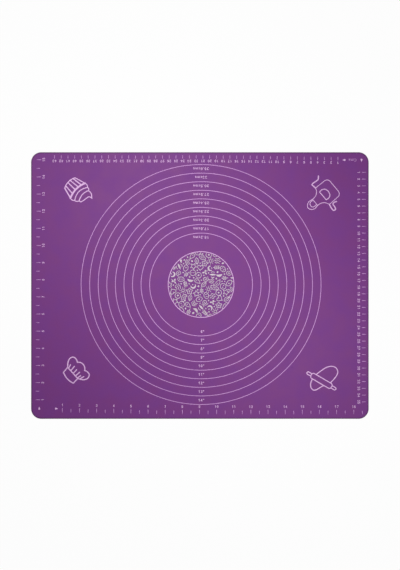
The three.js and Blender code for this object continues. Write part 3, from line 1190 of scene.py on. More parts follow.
@dataclass
class Print(MatPart):
    """Ink on the kneading face.

    Args:
        face: Level of the kneading face over the mat's underside.
    """

    face: float

    def ink(
        self, name: str, forms: Sequence[Form], nodes: Sequence[str], finish: Finish = PrintInk()
    ) -> bpy.types.Object:
        """Puts forms on the face as one piece of ink."""
        return self.piece(name, self.lay.carry(Form.joined(forms), self.face), finish, nodes)


@dataclass
class MeasuringCircles(Print):
    """Rings round one middle, one for each whole inch of diameter.

    Args:
        x: Their middle along the mat.
        y: Their middle across the mat.
        first: Diameter of the smallest, in inches.
        last: Diameter of the largest, in inches.
        line: Breadth of the line.
        steps: Stretches round a ring.
    """

    x: float
    y: float
    first: int = 6
    last: int = 14
    line: float = 1.0
    steps: int = 220

    @property
    def sizes(self) -> range:
        """The rings' diameters in inches."""
        return range(self.first, self.last + 1)

    def build(self) -> list[bpy.types.Object]:
        """Makes each ring as a piece of its own.

        Returns:
            The rings.
        """
        pen = InkPen(self.line)
        made = []
        for inches in self.sizes:
            ring = pen.line(loop(inches * INCH / 2, self.x, self.y, self.steps), closed=True)
            name = f"circle_{inches:02d}"
            made.append(self.ink(f"ink_{name}", [ring], [f"{name}_inch"], HairlineInk()))
        return made


Glyph = tuple[float, list[tuple[np.ndarray, bool]]]


@dataclass(frozen=True)
class Lettering:
    """Plain figures and the few letters of the rulers, drawn with one pen.

    Args:
        height: Height of a figure over all.
        gap: Clear space between neighbours.
        pen: Breadth of the line.
        stretch: Breadth of a figure, as a share of its usual one.
    """

    height: float
    gap: float
    pen: float
    stretch: float = 1.0

    @staticmethod
    @functools.cache
    def signs() -> dict[str, Glyph]:
        """The ten digits, a full point, an inch mark and the letters of "cms", on a cell of height 1.

        Returns:
            Each sign's breadth, and its centre lines, each with whether it is closed.
        """
        figure = 0.57
        nought = oval(0.28, 0.5, 0.28, 0.5, 0, 360, 14)[:-1]
        two = chain(oval(0.28, 0.71, 0.27, 0.29, 165, -38, 8), run((0, 0), (figure, 0)))
        three = chain(oval(0.27, 0.75, 0.25, 0.25, 150, -80, 7), oval(0.27, 0.265, 0.29, 0.265, 80, -150, 7))
        four = run((0.43, 0.0), (0.43, 1.0), (0.0, 0.30), (0.60, 0.30))
        flag = run((0.52, 1.0), (0.10, 1.0), (0.05, 0.53))
        five = chain(flag, oval(0.27, 0.32, 0.29, 0.32, 118, -150, 8))
        six = chain(oval(0.40, 0.5, 0.40, 0.5, 62, 165, 4), oval(0.28, 0.29, 0.28, 0.29, 180, 540, 11))
        eight_top = oval(0.28, 0.755, 0.23, 0.245, 0, 360, 10)[:-1]
        eight_foot = oval(0.28, 0.265, 0.28, 0.265, 0, 360, 11)[:-1]
        ticks = [run((x, 1.0), (x, 0.78)) for x in (0.0, 0.26)]
        arches = [chain(oval(x, 0.42, 0.2, 0.24, 160, 0, 5), run((x + 0.2, 0.0))) for x in (0.2, 0.6)]
        curl = chain(oval(0.23, 0.49, 0.20, 0.17, 40, 262, 6), oval(0.23, 0.165, 0.22, 0.165, 82, -140, 6))
        return {
            "0": (figure, [(nought, True)]),
            "1": (figure, [(run((0.10, 0.79), (0.34, 1.0), (0.34, 0.0)), False)]),
            "2": (figure, [(two, False)]),
            "3": (figure, [(three, False)]),
            "4": (0.6, [(four, False)]),
            "5": (figure, [(five, False)]),
            "6": (figure, [(six, False)]),
            "7": (figure, [(run((0.0, 1.0), (0.57, 1.0), (0.20, 0.0)), False)]),
            "8": (figure, [(eight_top, True), (eight_foot, True)]),
            "9": (figure, [((0.56, 1.0) - six, False)]),
            ".": (0.06, [(run((0.03, 0.0), (0.03, 0.05)), False)]),
            '"': (0.26, [(tick, False) for tick in ticks]),
            "c": (0.46, [(oval(0.26, 0.33, 0.26, 0.33, 48, 312, 9), False)]),
            "C": (0.64, [(oval(0.36, 0.5, 0.36, 0.5, 46, 314, 11), False)]),
            "m": (0.8, [(run((0.0, 0.66), (0.0, 0.0)), False), *((arch, False) for arch in arches)]),
            "s": (0.45, [(curl, False)]),
        }

    def breadths(self, text: str) -> np.ndarray:
        """Breadth of each sign's centre lines."""
        return np.array([self.signs()[sign][0] for sign in text]) * (self.height - self.pen) * self.stretch

    def length(self, text: str) -> float:
        """Length of a word over all."""
        return float(np.sum(self.breadths(text) + self.pen) + self.gap * (len(text) - 1))

    def word(self, text: str) -> Form:
        """A row of signs, its middle at the origin.

        Args:
            text: The signs.

        Returns:
            Their lines of ink.
        """
        pen = InkPen(self.pen)
        tall = self.height - self.pen
        steps = self.breadths(text) + self.pen + self.gap
        starts = np.cumsum(steps) - steps + (self.pen - self.length(text)) / 2
        forms = []
        for sign, start in zip(text, starts):
            for path, closed in self.signs()[sign][1]:
                placed = path * (tall * self.stretch, tall) + (start, -tall / 2)
                forms.append(pen.line(placed, closed, crown=False))
        return Form.joined(forms)


@dataclass
class CircleLabels(Print):
    """Each ring's size: in inches inside its front, in centimetres, upside down, inside its back.

    Args:
        circles: The rings.
        inch_clear: Distance from a ring's front to the middle of its label.
        cm_clear: Distance from a ring's back to the middle of its label.
        inch_right: Place of the right-hand end of the inch labels.
        inch: Hand of the inch labels.
        metric: Hand of the centimetre labels.
    """

    circles: MeasuringCircles
    inch_clear: float = 6.4
    cm_clear: float = 6.2
    inch_right: float = 6.3
    inch: Lettering = Lettering(height=4.1, gap=0.75, pen=0.86)
    metric: Lettering = Lettering(height=4.1, gap=0.85, pen=0.74, stretch=1.12)

    def build(self) -> list[bpy.types.Object]:
        """Makes one piece of all labels in inches and one of all labels in centimetres.

        Returns:
            The two pieces.
        """
        front, back = [], []
        for inches in self.circles.sizes:
            radius = inches * INCH / 2
            word = f'{inches}"'
            x = self.inch_right - self.inch.length(word) / 2
            front.append(self.inch.word(word).set_down(0, x, self.circles.y - radius + self.inch_clear))
            word = f"{round(inches * INCH / CENTIMETRE, 1):g}cms"
            y = self.circles.y + radius - self.cm_clear
            back.append(self.metric.word(word).set_down(math.pi, self.circles.x, y))
        return [self.ink("ink_circle_labels_inch", front, []), self.ink("ink_circle_labels_cm", back, [])]


@dataclass
class Ruler(Print):
    """Marks and figures along one edge of the mat.

    Args:
        name: What the edge's pieces are called.
        corner: The mat's corner that it starts at.
        inset: Its zero at the marks' outer ends, in from the corner's two edges.
        turn: Direction that it counts in.
        side: Which side of that direction its marks grow to, 1 for the left.
        unit: Length of its unit.
        count: Number of its last whole unit.
        mark: Length of a whole unit's mark.
        figures: Distance from the marks' outer ends to the middle of the figures.
        half_mark: Length of a half unit's mark, or 0 for none.
        last_half: Whether a half unit's mark follows the last whole one.
        creep: How far the print has crept inwards at the ruler's zero.
        creep_reach: Distance from the zero over which that eases away.
        line: Breadth of a mark.
        lettering: Hand of the figures.
    """

    name: str
    corner: Corner
    inset: Spot
    turn: float
    side: int
    unit: float
    count: int
    mark: float
    figures: float
    half_mark: float = 0.0
    last_half: bool = False
    creep: float = 0.0
    creep_reach: float = 205.0
    line: float = 0.84
    lettering: Lettering = Lettering(height=3.9, gap=0.65, pen=0.76)

    def marks(self) -> Form:
        """One square-ended bar for each unit, and a shorter one for each half unit.

        Returns:
            The marks, along +X from the ruler's zero.
        """
        pen = InkPen(self.line)
        whole = np.arange(1, self.count + 1) * self.unit
        kinds = [(whole, self.mark)]
        if self.half_mark:
            halves = whole + self.unit / 2
            kinds.append((halves if self.last_half else halves[:-1], self.half_mark))
        bars = []
        for places, length in kinds:
            bar = pen.line(run((0, 0), (0, self.side * length)), ends=Ends.SQUARE)
            bars.append(bar.stamped(np.column_stack([places, np.zeros(len(places))])))
        return Form.joined(bars)

    def numbers(self) -> Form:
        """The figures, each over its own mark.

        Returns:
            The figures, along +X from the ruler's zero.
        """
        level = self.side * self.figures
        counted = range(1, self.count + 1)
        return Form.joined([self.lettering.word(str(n)).set_down(0, n * self.unit, level) for n in counted])

    def crept(self, form: Form) -> Form:
        """Moves a form inwards by creep times half of 1 + cos, which ends at creep_reach.

        Args:
            form: A form along +X from the ruler's zero.

        Returns:
            The moved form.
        """
        points = form.points.copy()
        share = np.clip(points[:, 0] / self.creep_reach, 0, 1)
        points[:, 1] += self.side * self.creep * (1 + np.cos(math.pi * share)) / 2
        return Form(points, form.quads, form.triangles)

    def build(self) -> list[bpy.types.Object]:
        """Makes the marks as one piece and the figures as another.

        Returns:
            The two pieces.
        """
        spot = self.corner.spot(self.cut, self.inset)
        marks = self.crept(self.marks()).set_down(self.turn, *spot)
        numbers = self.crept(self.numbers()).set_down(self.turn, *spot)
        return [
            self.ink(f"ink_{self.name}_marks", [marks], [f"{self.name}_ruler"], HairlineInk()),
            self.ink(f"ink_{self.name}_figures", [numbers], []),
        ]


def rulers(lay: Lay, face: float) -> list[Ruler]:
    """The four edge rulers: inches at the front and on the left, centimetres at the back and on the right.

    Args:
        lay: How the sheet lies.
        face: Level of the kneading face.

    Returns:
        The rulers, in that order.
    """
    skew = 0.0045
    inch = {"corner": Corner.FRONT_LEFT, "unit": INCH, "mark": 6.6, "half_mark": 5.2}
    metric = {"corner": Corner.BACK_RIGHT, "unit": CENTIMETRE}
    front = {"inset": (20.8, 6.8), "turn": 0.0, "side": 1, "count": 18, "figures": 11.2, "creep": 2.6}
    left = {"inset": (6.4, 2.9), "turn": QUARTER - skew, "side": -1, "count": 15, "figures": 10.5}
    back = {"inset": (35.5, 4.4), "turn": math.pi, "side": 1, "count": 43, "figures": 8.6, "creep": 2.3}
    right = {"inset": (3.9, 19.8), "turn": -QUARTER, "side": -1, "count": 35, "figures": 10.6}
    return [
        Ruler(lay, face, "front_inch", last_half=True, **inch, **front),
        Ruler(lay, face, "left_inch", **inch, **left),
        Ruler(lay, face, "back_cm", mark=5.0, **metric, **back),
        Ruler(lay, face, "right_cm", mark=6.0, **metric, **right),
    ]


@dataclass
class Arrowheads(Print):
    """Filled arrowheads where the rulers start, and the word between those of the metric corner.

    Args:
        length: Length of an arrowhead.
        breadth: Its greatest breadth.
        along: Places along it from its middle, as shares of its length.
        across: Its breadth at those places, as shares of the greatest.
        word: Middle of the word, in from the metric corner's two edges.
        lettering: Hand of the word.
    """

    length: float = 4.7
    breadth: float = 3.4
    along: tuple[float, ...] = (-0.5, -0.42, -0.28, 0.5)
    across: tuple[float, ...] = (0.55, 0.9, 1.0, 0.03)
    word: Spot = (23.9, 11.5)
    lettering: Lettering = Lettering(height=4.3, gap=0.7, pen=0.66, stretch=1.2)

    def head(self) -> Form:
        """An arrowhead with its point on +X: a line with a rounded tail that narrows evenly to its point.

        Returns:
            The arrowhead about the origin.
        """
        path = np.column_stack([self.length * np.array(self.along), np.zeros(len(self.along))])
        breadth = self.breadth * np.array(self.across)
        return InkPen(self.breadth).line(path, ends=Ends.SQUARE, breadth=breadth)

    def build(self) -> list[bpy.types.Object]:
        """Makes the four arrowheads and the word.

        Returns:
            The four arrowheads and the word.
        """
        heads = {
            "inch_arrow_up": (QUARTER, Corner.FRONT_LEFT, (12.0, 15.9)),
            "inch_arrow_right": (0.0, Corner.FRONT_LEFT, (37.6, 15.1)),
            "cm_arrow_left": (math.pi, Corner.BACK_RIGHT, (36.5, 11.5)),
            "cm_arrow_down": (-QUARTER, Corner.BACK_RIGHT, (10.5, 12.0)),
        }
        made = []
        for name, (turn, corner, inset) in heads.items():
            head = self.head().set_down(turn, *corner.spot(self.cut, inset))
            made.append(self.ink(f"ink_{name}", [head], [name]))
        spot = Corner.BACK_RIGHT.spot(self.cut, self.word)
        word = self.lettering.word("Cms").set_down(math.pi, *spot)
        return made + [self.ink("ink_cm_word", [word], [], HairlineInk())]


# Corner figures

@dataclass
class CornerFigure(Print):
    """A line drawing in one corner.

    Args:
        corner: The mat's corner that it lies in.
        inset: Its middle, in from the corner's two edges.
        tilt: Its turn, in degrees.
        pen: Breadth of its line.
    """

    corner: Corner
    inset: Spot
    tilt: float
    pen: float = 1.55

    def drawn(self, paths: Sequence[np.ndarray], width: float | None = None) -> list[Form]:
        """Inks paths of the upright drawing and sets them down in the corner.

        Args:
            paths: Paths about the drawing's middle.
            width: Breadth of the line, where it isn't the figure's own.

        Returns:
            Their lines of ink.
        """
        pen = InkPen(width or self.pen)
        turn = math.radians(self.tilt)
        spot = self.corner.spot(self.cut, self.inset)
        return [pen.line(path).set_down(turn, *spot) for path in paths]


@dataclass
class Cupcake(CornerFigure):
    """A fluted paper cup, two tiers of icing and a hooked tip, about the middle of the cup's rim."""

    corner: Corner = Corner.BACK_LEFT
    inset: Spot = (68.9, 56.9)
    tilt: float = -134.5
    rim: float = 30.8
    rim_sag: float = 3.3
    rim_pen: float = 2.9
    foot: float = 21.8
    foot_sag: float = 2.8
    depth: float = 16.2
    flute_pen: float = 1.9
    flute_feet: tuple[float, ...] = (7.4, 1.5, -3.0, -8.0)
    flute_heads: tuple[float, ...] = (8.5, 1.6, -4.6, -9.8)
    tier_left: tuple[Spot, ...] = ((-13.6, 7.0), (-11.1, 11.2))
    tier_right: tuple[Spot, ...] = ((13.5, 7.1), (9.0, 12.0))
    tier_sag: tuple[float, ...] = (4.8, 2.6)
    bulge: float = 1.2
    tip: Spot = (-6.7, 22.9)
    tip_back: tuple[Spot, ...] = ((-11.4, 14.6), (-10.4, 18.4))
    tip_front: tuple[Spot, ...] = ((8.3, 15.1), (1.4, 16.7), (-4.1, 17.7), (-6.1, 19.5))

    @staticmethod
    def sagging(x: float, span: float, sag: float) -> float:
        """Height, over its ends, of a parabola that hangs sag deep in its span."""
        return -sag * (1 - (2 * x / span) ** 2)

    def cup(self) -> list[Form]:
        """The foot, the sides, a heavy rim, and flutes from the foot's curve to the rim's.

        Returns:
            Their lines of ink.
        """
        left, right = (-self.rim / 2, 0.0), (self.rim / 2, 0.0)
        low_left, low_right = (-self.foot / 2, -self.depth), (self.foot / 2, -self.depth)
        flutes = [run(low_right, right)]
        for low, high in zip(self.flute_feet, self.flute_heads):
            start = (low, self.sagging(low, self.foot, self.foot_sag) - self.depth)
            flutes.append(run(start, (high, self.sagging(high, self.rim, self.rim_sag))))
        outline = [bow(low_left, low_right, -self.foot_sag), run(low_left, left)]
        rim = [bow(left, right, -self.rim_sag)]
        return self.drawn(outline) + self.drawn(rim, self.rim_pen) + self.drawn(flutes, self.flute_pen)

    def icing(self) -> list[Form]:
        """Each tier's lower line and bulging ends, from the rim up, and the tip over the last.

        Returns:
            Their lines of ink.
        """
        paths = []
        left, right = (-self.rim / 2, 0.0), (self.rim / 2, 0.0)
        for next_left, next_right, sag in zip(self.tier_left, self.tier_right, self.tier_sag):
            paths.append(bow(next_left, next_right, -sag))
            paths.append(bow(left, next_left, self.bulge, steps=8))
            paths.append(bow(right, next_right, -self.bulge, steps=8))
            left, right = next_left, next_right
        paths.append(through([left, *self.tip_back, self.tip], steps=14))
        paths.append(through([right, *self.tip_front, self.tip], steps=22))
        return self.drawn(paths)

    def build(self) -> list[bpy.types.Object]:
        """Makes the cupcake as one piece."""
        return [self.ink("ink_cupcake", self.cup() + self.icing(), ["cupcake_print"])]


@dataclass
class Apron(CornerFigure):
    """A skirt with a rounded hem, a bib, a neck strap, two ties and a pocket, about the waist's middle."""

    corner: Corner = Corner.BACK_RIGHT
    inset: Spot = (68.3, 65.1)
    tilt: float = 130.0
    pen: float = 1.12
    waist: float = 31.8
    hem: float = 31.0
    hem_round: float = 6.0
    skirt: float = 22.8
    bib: float = 12.2
    bib_top: float = 14.3
    edge: tuple[Spot, ...] = ((11.4, 2.1), (7.7, 6.0), (6.0, 11.0), (6.1, 16.0), (6.8, 20.5), (4.6, 25.2))
    strap_top: float = 27.7
    collar: tuple[Spot, ...] = (
        (4.5, 14.3), (4.7, 19.0), (2.6, 22.0), (-1.0, 22.5), (-3.7, 20.2), (-3.9, 14.3)
    )
    tie_pen: float = 1.85
    long_tie: tuple[Spot, ...] = (
        (20.2, 0.7), (22.9, 0.9), (23.7, -1.6), (23.2, -6.6), (23.2, -10.9), (26.7, -14.6)
    )
    looped_tie: tuple[Spot, ...] = (
        (-22.2, 1.3), (-26.6, 0.8), (-27.2, -2.4), (-23.6, -3.8), (-19.2, -4.3), (-18.0, -7.0),
        (-19.4, -10.8),
    )
    pocket_pen: float = 1.4
    pocket: tuple[Spot, ...] = (
        (7.5, -0.7), (7.9, -5.5), (5.4, -9.7), (0.0, -11.2), (-5.5, -9.7), (-8.0, -5.5), (-7.6, -0.7)
    )

    def body(self) -> list[np.ndarray]:
        """The skirt, then one curve up the bib, round the strap and down again, then the collar.

        Returns:
            Their paths.
        """
        half, low = self.waist / 2, -self.skirt
        flat, bib = self.hem / 2 - self.hem_round, self.bib / 2
        paths = [run((-flat, low), (flat, low)), run((-bib, self.bib_top), (bib, self.bib_top))]
        for side in (1, -1):
            corner = (side * self.hem / 2, low + self.hem_round)
            paths.append(run((side * half, 0), corner))
            paths.append(arc((side * flat, low), corner, -side * QUARTER_RISE * self.hem_round, steps=8))
        mirrored = [(-x, y) for x, y in reversed(self.edge)]
        knots = [(half, 0.0), *self.edge, (0.0, self.strap_top), *mirrored, (-half, 0.0)]
        return paths + [through(knots, steps=70), through(self.collar, steps=26)]

    def ties(self) -> list[np.ndarray]:
        """The tie that hangs in a wave and the one that loops back on itself.

        Returns:
            Their paths.
        """
        half = self.waist / 2
        return [
            through([(half, 0.0), *self.long_tie], steps=30),
            through([(-half, 0.0), *self.looped_tie], steps=36),
        ]

    def build(self) -> list[bpy.types.Object]:
        """Makes the apron as one piece and its pocket as another.

        Returns:
            The two pieces.
        """
        whole = self.drawn(self.body()) + self.drawn(self.ties(), self.tie_pen)
        outline = [run(self.pocket[0], self.pocket[-1]), through(self.pocket, steps=30)]
        pocket = self.drawn(outline, self.pocket_pen)
        return [
            self.ink("ink_apron", whole, ["apron_print"]),
            self.ink("ink_apron_pocket", pocket, ["apron_pocket_print"]),
        ]


@dataclass
class ChefHat(CornerFigure):
    """A band, two side puffs alike about its centre line, a top puff and pleats, about the band's top."""

    corner: Corner = Corner.FRONT_LEFT
    inset: Spot = (61.5, 68.0)
    tilt: float = -48.4
    pen: float = 1.85
    band: float = 22.3
    foot_left: Spot = (-9.7, -9.6)
    foot_right: Spot = (12.0, -9.5)
    foot_bow: float = 2.2
    centre: float = 0.9
    puff: tuple[Spot, ...] = ((-16.4, 5.2), (-18.9, 11.3), (-16.6, 16.5), (-11.5, 17.3), (-7.2, 15.6))
    top_puff: float = 4.4
    pleat_feet: tuple[float, ...] = (-9.2, -4.3, 1.2, 6.0, 10.2, 13.7)
    pleat_heads: tuple[float, ...] = (-11.2, -5.6, 0.4, 6.1, 10.8, 14.9)
    pleat_heights: tuple[float, ...] = (5.6, 8.3, 7.5, 8.2, 5.9, 8.4)
    pleat_rise: float = 0.75

    def build(self) -> list[bpy.types.Object]:
        """Draws the band, the puffs from its ends to the notches, the top between them, and the pleats.

        Returns:
            The hat, as one piece.
        """
        left, right = (-self.band / 2, 0.0), (self.band / 2, 0.0)
        mirrored = [(2 * self.centre - x, y) for x, y in self.puff]
        paths = [
            run(left, right),
            run(left, self.foot_left),
            run(right, self.foot_right),
            bow(self.foot_left, self.foot_right, -self.foot_bow),
            through([left, *self.puff], steps=28),
            arc(self.puff[-1], mirrored[-1], self.top_puff, steps=16),
            through([right, *mirrored], steps=28),
        ]
        for low, high, height in zip(self.pleat_feet, self.pleat_heads, self.pleat_heights):
            # A pleat beyond the band's end starts higher, on the puff
            start = max(0.0, low - self.band / 2) * self.pleat_rise
            paths.append(run((low, start), (high, height)))
        return [self.ink("ink_chef_hat", self.drawn(paths), ["chef_hat_print"])]


@dataclass
class RollingPin(CornerFigure):
    """A rolling pin with looped handles across a sheet of dough, about the pin's middle."""

    corner: Corner = Corner.FRONT_RIGHT
    inset: Spot = (69.9, 56.2)
    tilt: float = -30.3
    body: float = 35.0
    breadth: float = 8.2
    rounding: float = 3.4
    handle: float = 7.2
    handle_breadth: float = 3.8
    far_dough: tuple[Spot, ...] = (
        (-11.5, 4.1), (-7.8, 13.1), (-3.8, 20.7), (1.7, 26.0), (8.2, 27.7), (13.6, 24.6), (15.4, 19.0),
        (14.7, 11.3), (12.8, 4.1),
    )
    near_dough: tuple[Spot, ...] = (
        (-13.0, -4.1), (-12.1, -10.6), (-8.4, -16.2), (-3.4, -17.7), (0.2, -15.0), (3.7, -8.7), (6.4, -4.1)
    )

    def build(self) -> list[bpy.types.Object]:
        """Draws the dough on either side, the body edge by edge and the handles end by end.

        Returns:
            The pin and its dough, as one piece.
        """
        x, y, c, grip = self.body / 2, self.breadth / 2, self.rounding, self.handle_breadth / 2
        paths = [through(self.far_dough, steps=48), through(self.near_dough, steps=36)]
        for side in (1, -1):
            far = side * (x + self.handle - grip)
            paths.append(run((c - x, side * y), (x - c, side * y)))
            paths.append(run((side * x, c - y), (side * x, y - c)))
            for edge in (1, -1):
                start, end = (side * (x - c), edge * y), (side * x, edge * (y - c))
                paths.append(arc(start, end, side * edge * QUARTER_RISE * c, steps=6))
                paths.append(run((side * x, edge * grip), (far, edge * grip)))
            paths.append(arc((far, grip), (far, -grip), side * grip, steps=12))
        return [self.ink("ink_rolling_pin", self.drawn(paths), ["rolling_pin_print"])]


# The round panel in the middle

@dataclass(frozen=True)
class Stroke:
    """One line of a small drawing of radius 1.

    Args:
        path: Its points.
        closed: Whether the last point joins the first.
        breadth: Breadth at each point where the line is a filled shape, or None for the pen's.
    """

    path: np.ndarray
    closed: bool = False
    breadth: np.ndarray | None = None


def filled(path: np.ndarray, breadth: float) -> Stroke:
    """A filled shape along a path: its breadth follows a power of sin(pi * t), which rounds it.

    Args:
        path: Its middle line.
        breadth: Its greatest breadth.

    Returns:
        The shape.
    """
    short, power = 0.04, 0.75
    t = np.linspace(short, 1 - short, len(path))
    return Stroke(path, False, breadth * np.sin(math.pi * t) ** power)


def dot(radius: float, x: float = 0.0, y: float = 0.0) -> Stroke:
    """A filled round: a short line whose breadth follows the circle over it.

    Args:
        radius: Its radius.
        x: Its middle, along.
        y: Its middle, across.

    Returns:
        The round.
    """
    share = np.sin(np.radians([-80, -45, 0, 45, 80]))
    path = np.column_stack([x + radius * share, np.full(len(share), y)])
    return Stroke(path, False, 2 * radius * np.sqrt(1 - share**2))


class Motif(Enum):
    """Small drawings of the panel, each one plain leaf, shell or pattern work."""

    LEAF = "leaf"
    SPIRAL = "spiral"
    RINGS = "rings"
    PEBBLE = "pebble"
    FLOWER = "flower"
    OVAL = "plain_oval"
    WAVES = "waves"
    DROP = "drop"
    MOON = "moon"
    STAR = "star"
    STRIPES = "stripes"
    SHELL = "shell"
    SEED = "seed"
    HEART = "heart"
    WHEAT = "wheat"
    SUN = "sun"
    CHEVRONS = "chevrons"
    CLOVER = "clover"
    BUTTON = "button"
    SPRIG = "sprig"

    def strokes(self) -> list[Stroke]:
        """The motif's lines."""
        maker: Callable[[], list[Stroke]] = getattr(MotifBook, self.value)
        return maker()


class MotifBook:
    """How each motif is drawn, in a circle of radius 1."""

    @staticmethod
    def leaf() -> list[Stroke]:
        """A pointed oval, half the sine of its length either side, with a rib.

        Returns:
            Its lines.
        """
        s = np.linspace(0, 1, 15)
        upper = np.column_stack([2 * s - 1, 0.56 * np.sin(math.pi * s) ** 0.85])
        lower = upper[-2:0:-1] * (1, -1)
        return [Stroke(np.concatenate([upper, lower]), True), Stroke(run((-1.1, 0), (0.35, 0)))]

    @staticmethod
    def spiral() -> list[Stroke]:
        """A spiral whose radius grows evenly with its angle.

        Returns:
            Its lines.
        """
        t = np.linspace(0.1, 1, 36)
        angle = 2 * math.pi * 1.9 * t
        return [Stroke(np.column_stack([t * np.cos(angle), t * np.sin(angle)]) * 0.95)]

    @staticmethod
    def flower() -> list[Stroke]:
        """Five petals, radius 0.76 + 0.22 * cos(5 * angle), round a dot.

        Returns:
            Its lines.
        """
        angle = np.linspace(0, 2 * math.pi, 45, endpoint=False)
        r = 0.76 + 0.22 * np.cos(5 * angle)
        petals = np.column_stack([r * np.cos(angle), r * np.sin(angle)])
        return [Stroke(petals, True), dot(0.24)]

    @staticmethod
    def pebble() -> list[Stroke]:
        """A filled bean along a bow."""
        return [filled(bow((-0.9, -0.15), (0.9, -0.15), 0.38, 10), 0.84)]

    @staticmethod
    def plain_oval() -> list[Stroke]:
        """One oval line."""
        return [Stroke(oval(0, 0, 1, 0.7, 0, 360, 24)[:-1], True)]

    @staticmethod
    def seed() -> list[Stroke]:
        """A filled lens with a dash on either side."""
        body = filled(np.column_stack([np.linspace(-0.95, 0.95, 9), np.zeros(9)]), 0.66)
        return [body] + [Stroke(bow((-0.5, y), (0.5, y), 0.3 * y, 6)) for y in (0.72, -0.72)]

    @staticmethod
    def waves() -> list[Stroke]:
        """Three sine waves, the middle one longest.

        Returns:
            Its lines.
        """
        lines = []
        for level, reach in ((0.62, 0.7), (0.0, 1.0), (-0.62, 0.7)):
            x = np.linspace(-reach, reach, 18)
            lines.append(Stroke(np.column_stack([x, level + 0.14 * np.sin(6.3 * x)])))
        return lines

    @staticmethod
    def drop() -> list[Stroke]:
        """A drop, cos by sin times a power of the half angle's sine, with a dot.

        Returns:
            Its lines.
        """
        angle = np.linspace(0.02, 2 * math.pi - 0.02, 28)
        rim = np.column_stack([np.cos(angle), 0.82 * np.sin(angle) * np.sin(angle / 2) ** 1.3])
        return [Stroke(rim, True), dot(0.17, -0.4)]

    @staticmethod
    def star() -> list[Stroke]:
        """A five-pointed star.

        Returns:
            Its lines.
        """
        angle = np.radians(90 + 36 * np.arange(10))
        r = np.where(np.arange(10) % 2 == 0, 1.0, 0.5)
        return [Stroke(np.column_stack([r * np.cos(angle), r * np.sin(angle)]), True)]

    @staticmethod
    def shell() -> list[Stroke]:
        """A fan with a scalloped rim, its ribs running to the hinge.

        Returns:
            Its lines.
        """
        angle = np.radians(np.linspace(15, 165, 28))
        r = 1.3 + 0.08 * np.abs(np.sin(5 * (angle - angle[0]) * 180 / 150))
        hinge = np.array([0.0, -0.62])
        rim = hinge + np.column_stack([r * np.cos(angle), r * np.sin(angle)])
        ribs = [hinge + np.outer((0.5, 0.95), (math.cos(a), math.sin(a))) for a in np.radians((55, 90, 125))]
        return [Stroke(np.concatenate([rim, hinge[None]]), True)] + [Stroke(rib) for rib in ribs]

    @staticmethod
    def rings() -> list[Stroke]:
        """A ring round a dot."""
        return [Stroke(loop(0.88, steps=24), True), dot(0.3)]

    @staticmethod
    def wheat() -> list[Stroke]:
        """A stem with filled grains in pairs.

        Returns:
            Its lines.
        """
        grains = [
            filled(run((x, side * 0.16), (x + 0.24, side * 0.4), (x + 0.5, side * 0.5)), 0.4)
            for x in (-0.45, 0.1)
            for side in (1, -1)
        ]
        return [Stroke(run((-1, 0), (0.5, 0))), filled(run((0.5, 0), (0.75, 0), (1.05, 0)), 0.42)] + grains

    @staticmethod
    def heart() -> list[Stroke]:
        """The sine-cubed heart curve.

        Returns:
            Its lines.
        """
        t = np.linspace(0, 2 * math.pi, 32, endpoint=False)
        x = 16 * np.sin(t) ** 3
        y = 13 * np.cos(t) - 5 * np.cos(2 * t) - 2 * np.cos(3 * t) - np.cos(4 * t)
        return [Stroke(np.column_stack([x, y + 2]) / 17.5, True)]

    @staticmethod
    def moon() -> list[Stroke]:
        """A filled crescent and a dot in its hollow."""
        return [filled(oval(0.1, 0, 0.74, 0.74, 70, 290, 14), 0.56), dot(0.2, 0.42)]

    @staticmethod
    def stripes() -> list[Stroke]:
        """An oval crossed by bars that end short of its line."""
        bars = [Stroke(run((x, -0.26), (x, 0.26))) for x in (-0.34, 0.34)]
        return [Stroke(oval(0, 0, 1, 0.72, 0, 360, 26)[:-1], True)] + bars

    @staticmethod
    def sun() -> list[Stroke]:
        """A ring and rays.

        Returns:
            Its lines.
        """
        angles = np.radians(np.arange(0, 360, 45))
        rays = [np.outer((0.78, 1.02), (math.cos(a), math.sin(a))) for a in angles]
        return [Stroke(loop(0.44, steps=16), True)] + [Stroke(ray) for ray in rays]

    @staticmethod
    def clover() -> list[Stroke]:
        """Three filled leaves and a stem.

        Returns:
            Its lines.
        """
        leaves = []
        for a in np.radians((90, 210, 330)):
            leaves.append(filled(np.outer(np.linspace(0.12, 0.85, 5), (math.cos(a), math.sin(a))), 0.6))
        return leaves + [Stroke(bow((0, 0), (0.3, -0.95), 0.12, 6))]

    @staticmethod
    def chevrons() -> list[Stroke]:
        """Three nested angles."""
        return [Stroke(run((x - 0.5, 0.78), (x, 0), (x - 0.5, -0.78))) for x in (-0.2, 0.32, 0.84)]

    @staticmethod
    def sprig() -> list[Stroke]:
        """A stem with filled leaves on either side.

        Returns:
            Its lines.
        """
        leaves = [
            filled(run((x, side * 0.08), (x + 0.2, side * 0.36), (x + 0.5, side * 0.58)), 0.36)
            for x in (-0.7, -0.15, 0.4)
            for side in (1, -1)
        ]
        return [Stroke(bow((-1, 0), (0.95, 0), -0.1, 8))] + leaves

    @staticmethod
    def button() -> list[Stroke]:
        """A ring with two dots."""
        return [Stroke(loop(0.9, steps=24), True), dot(0.17, -0.3), dot(0.17, 0.3)]


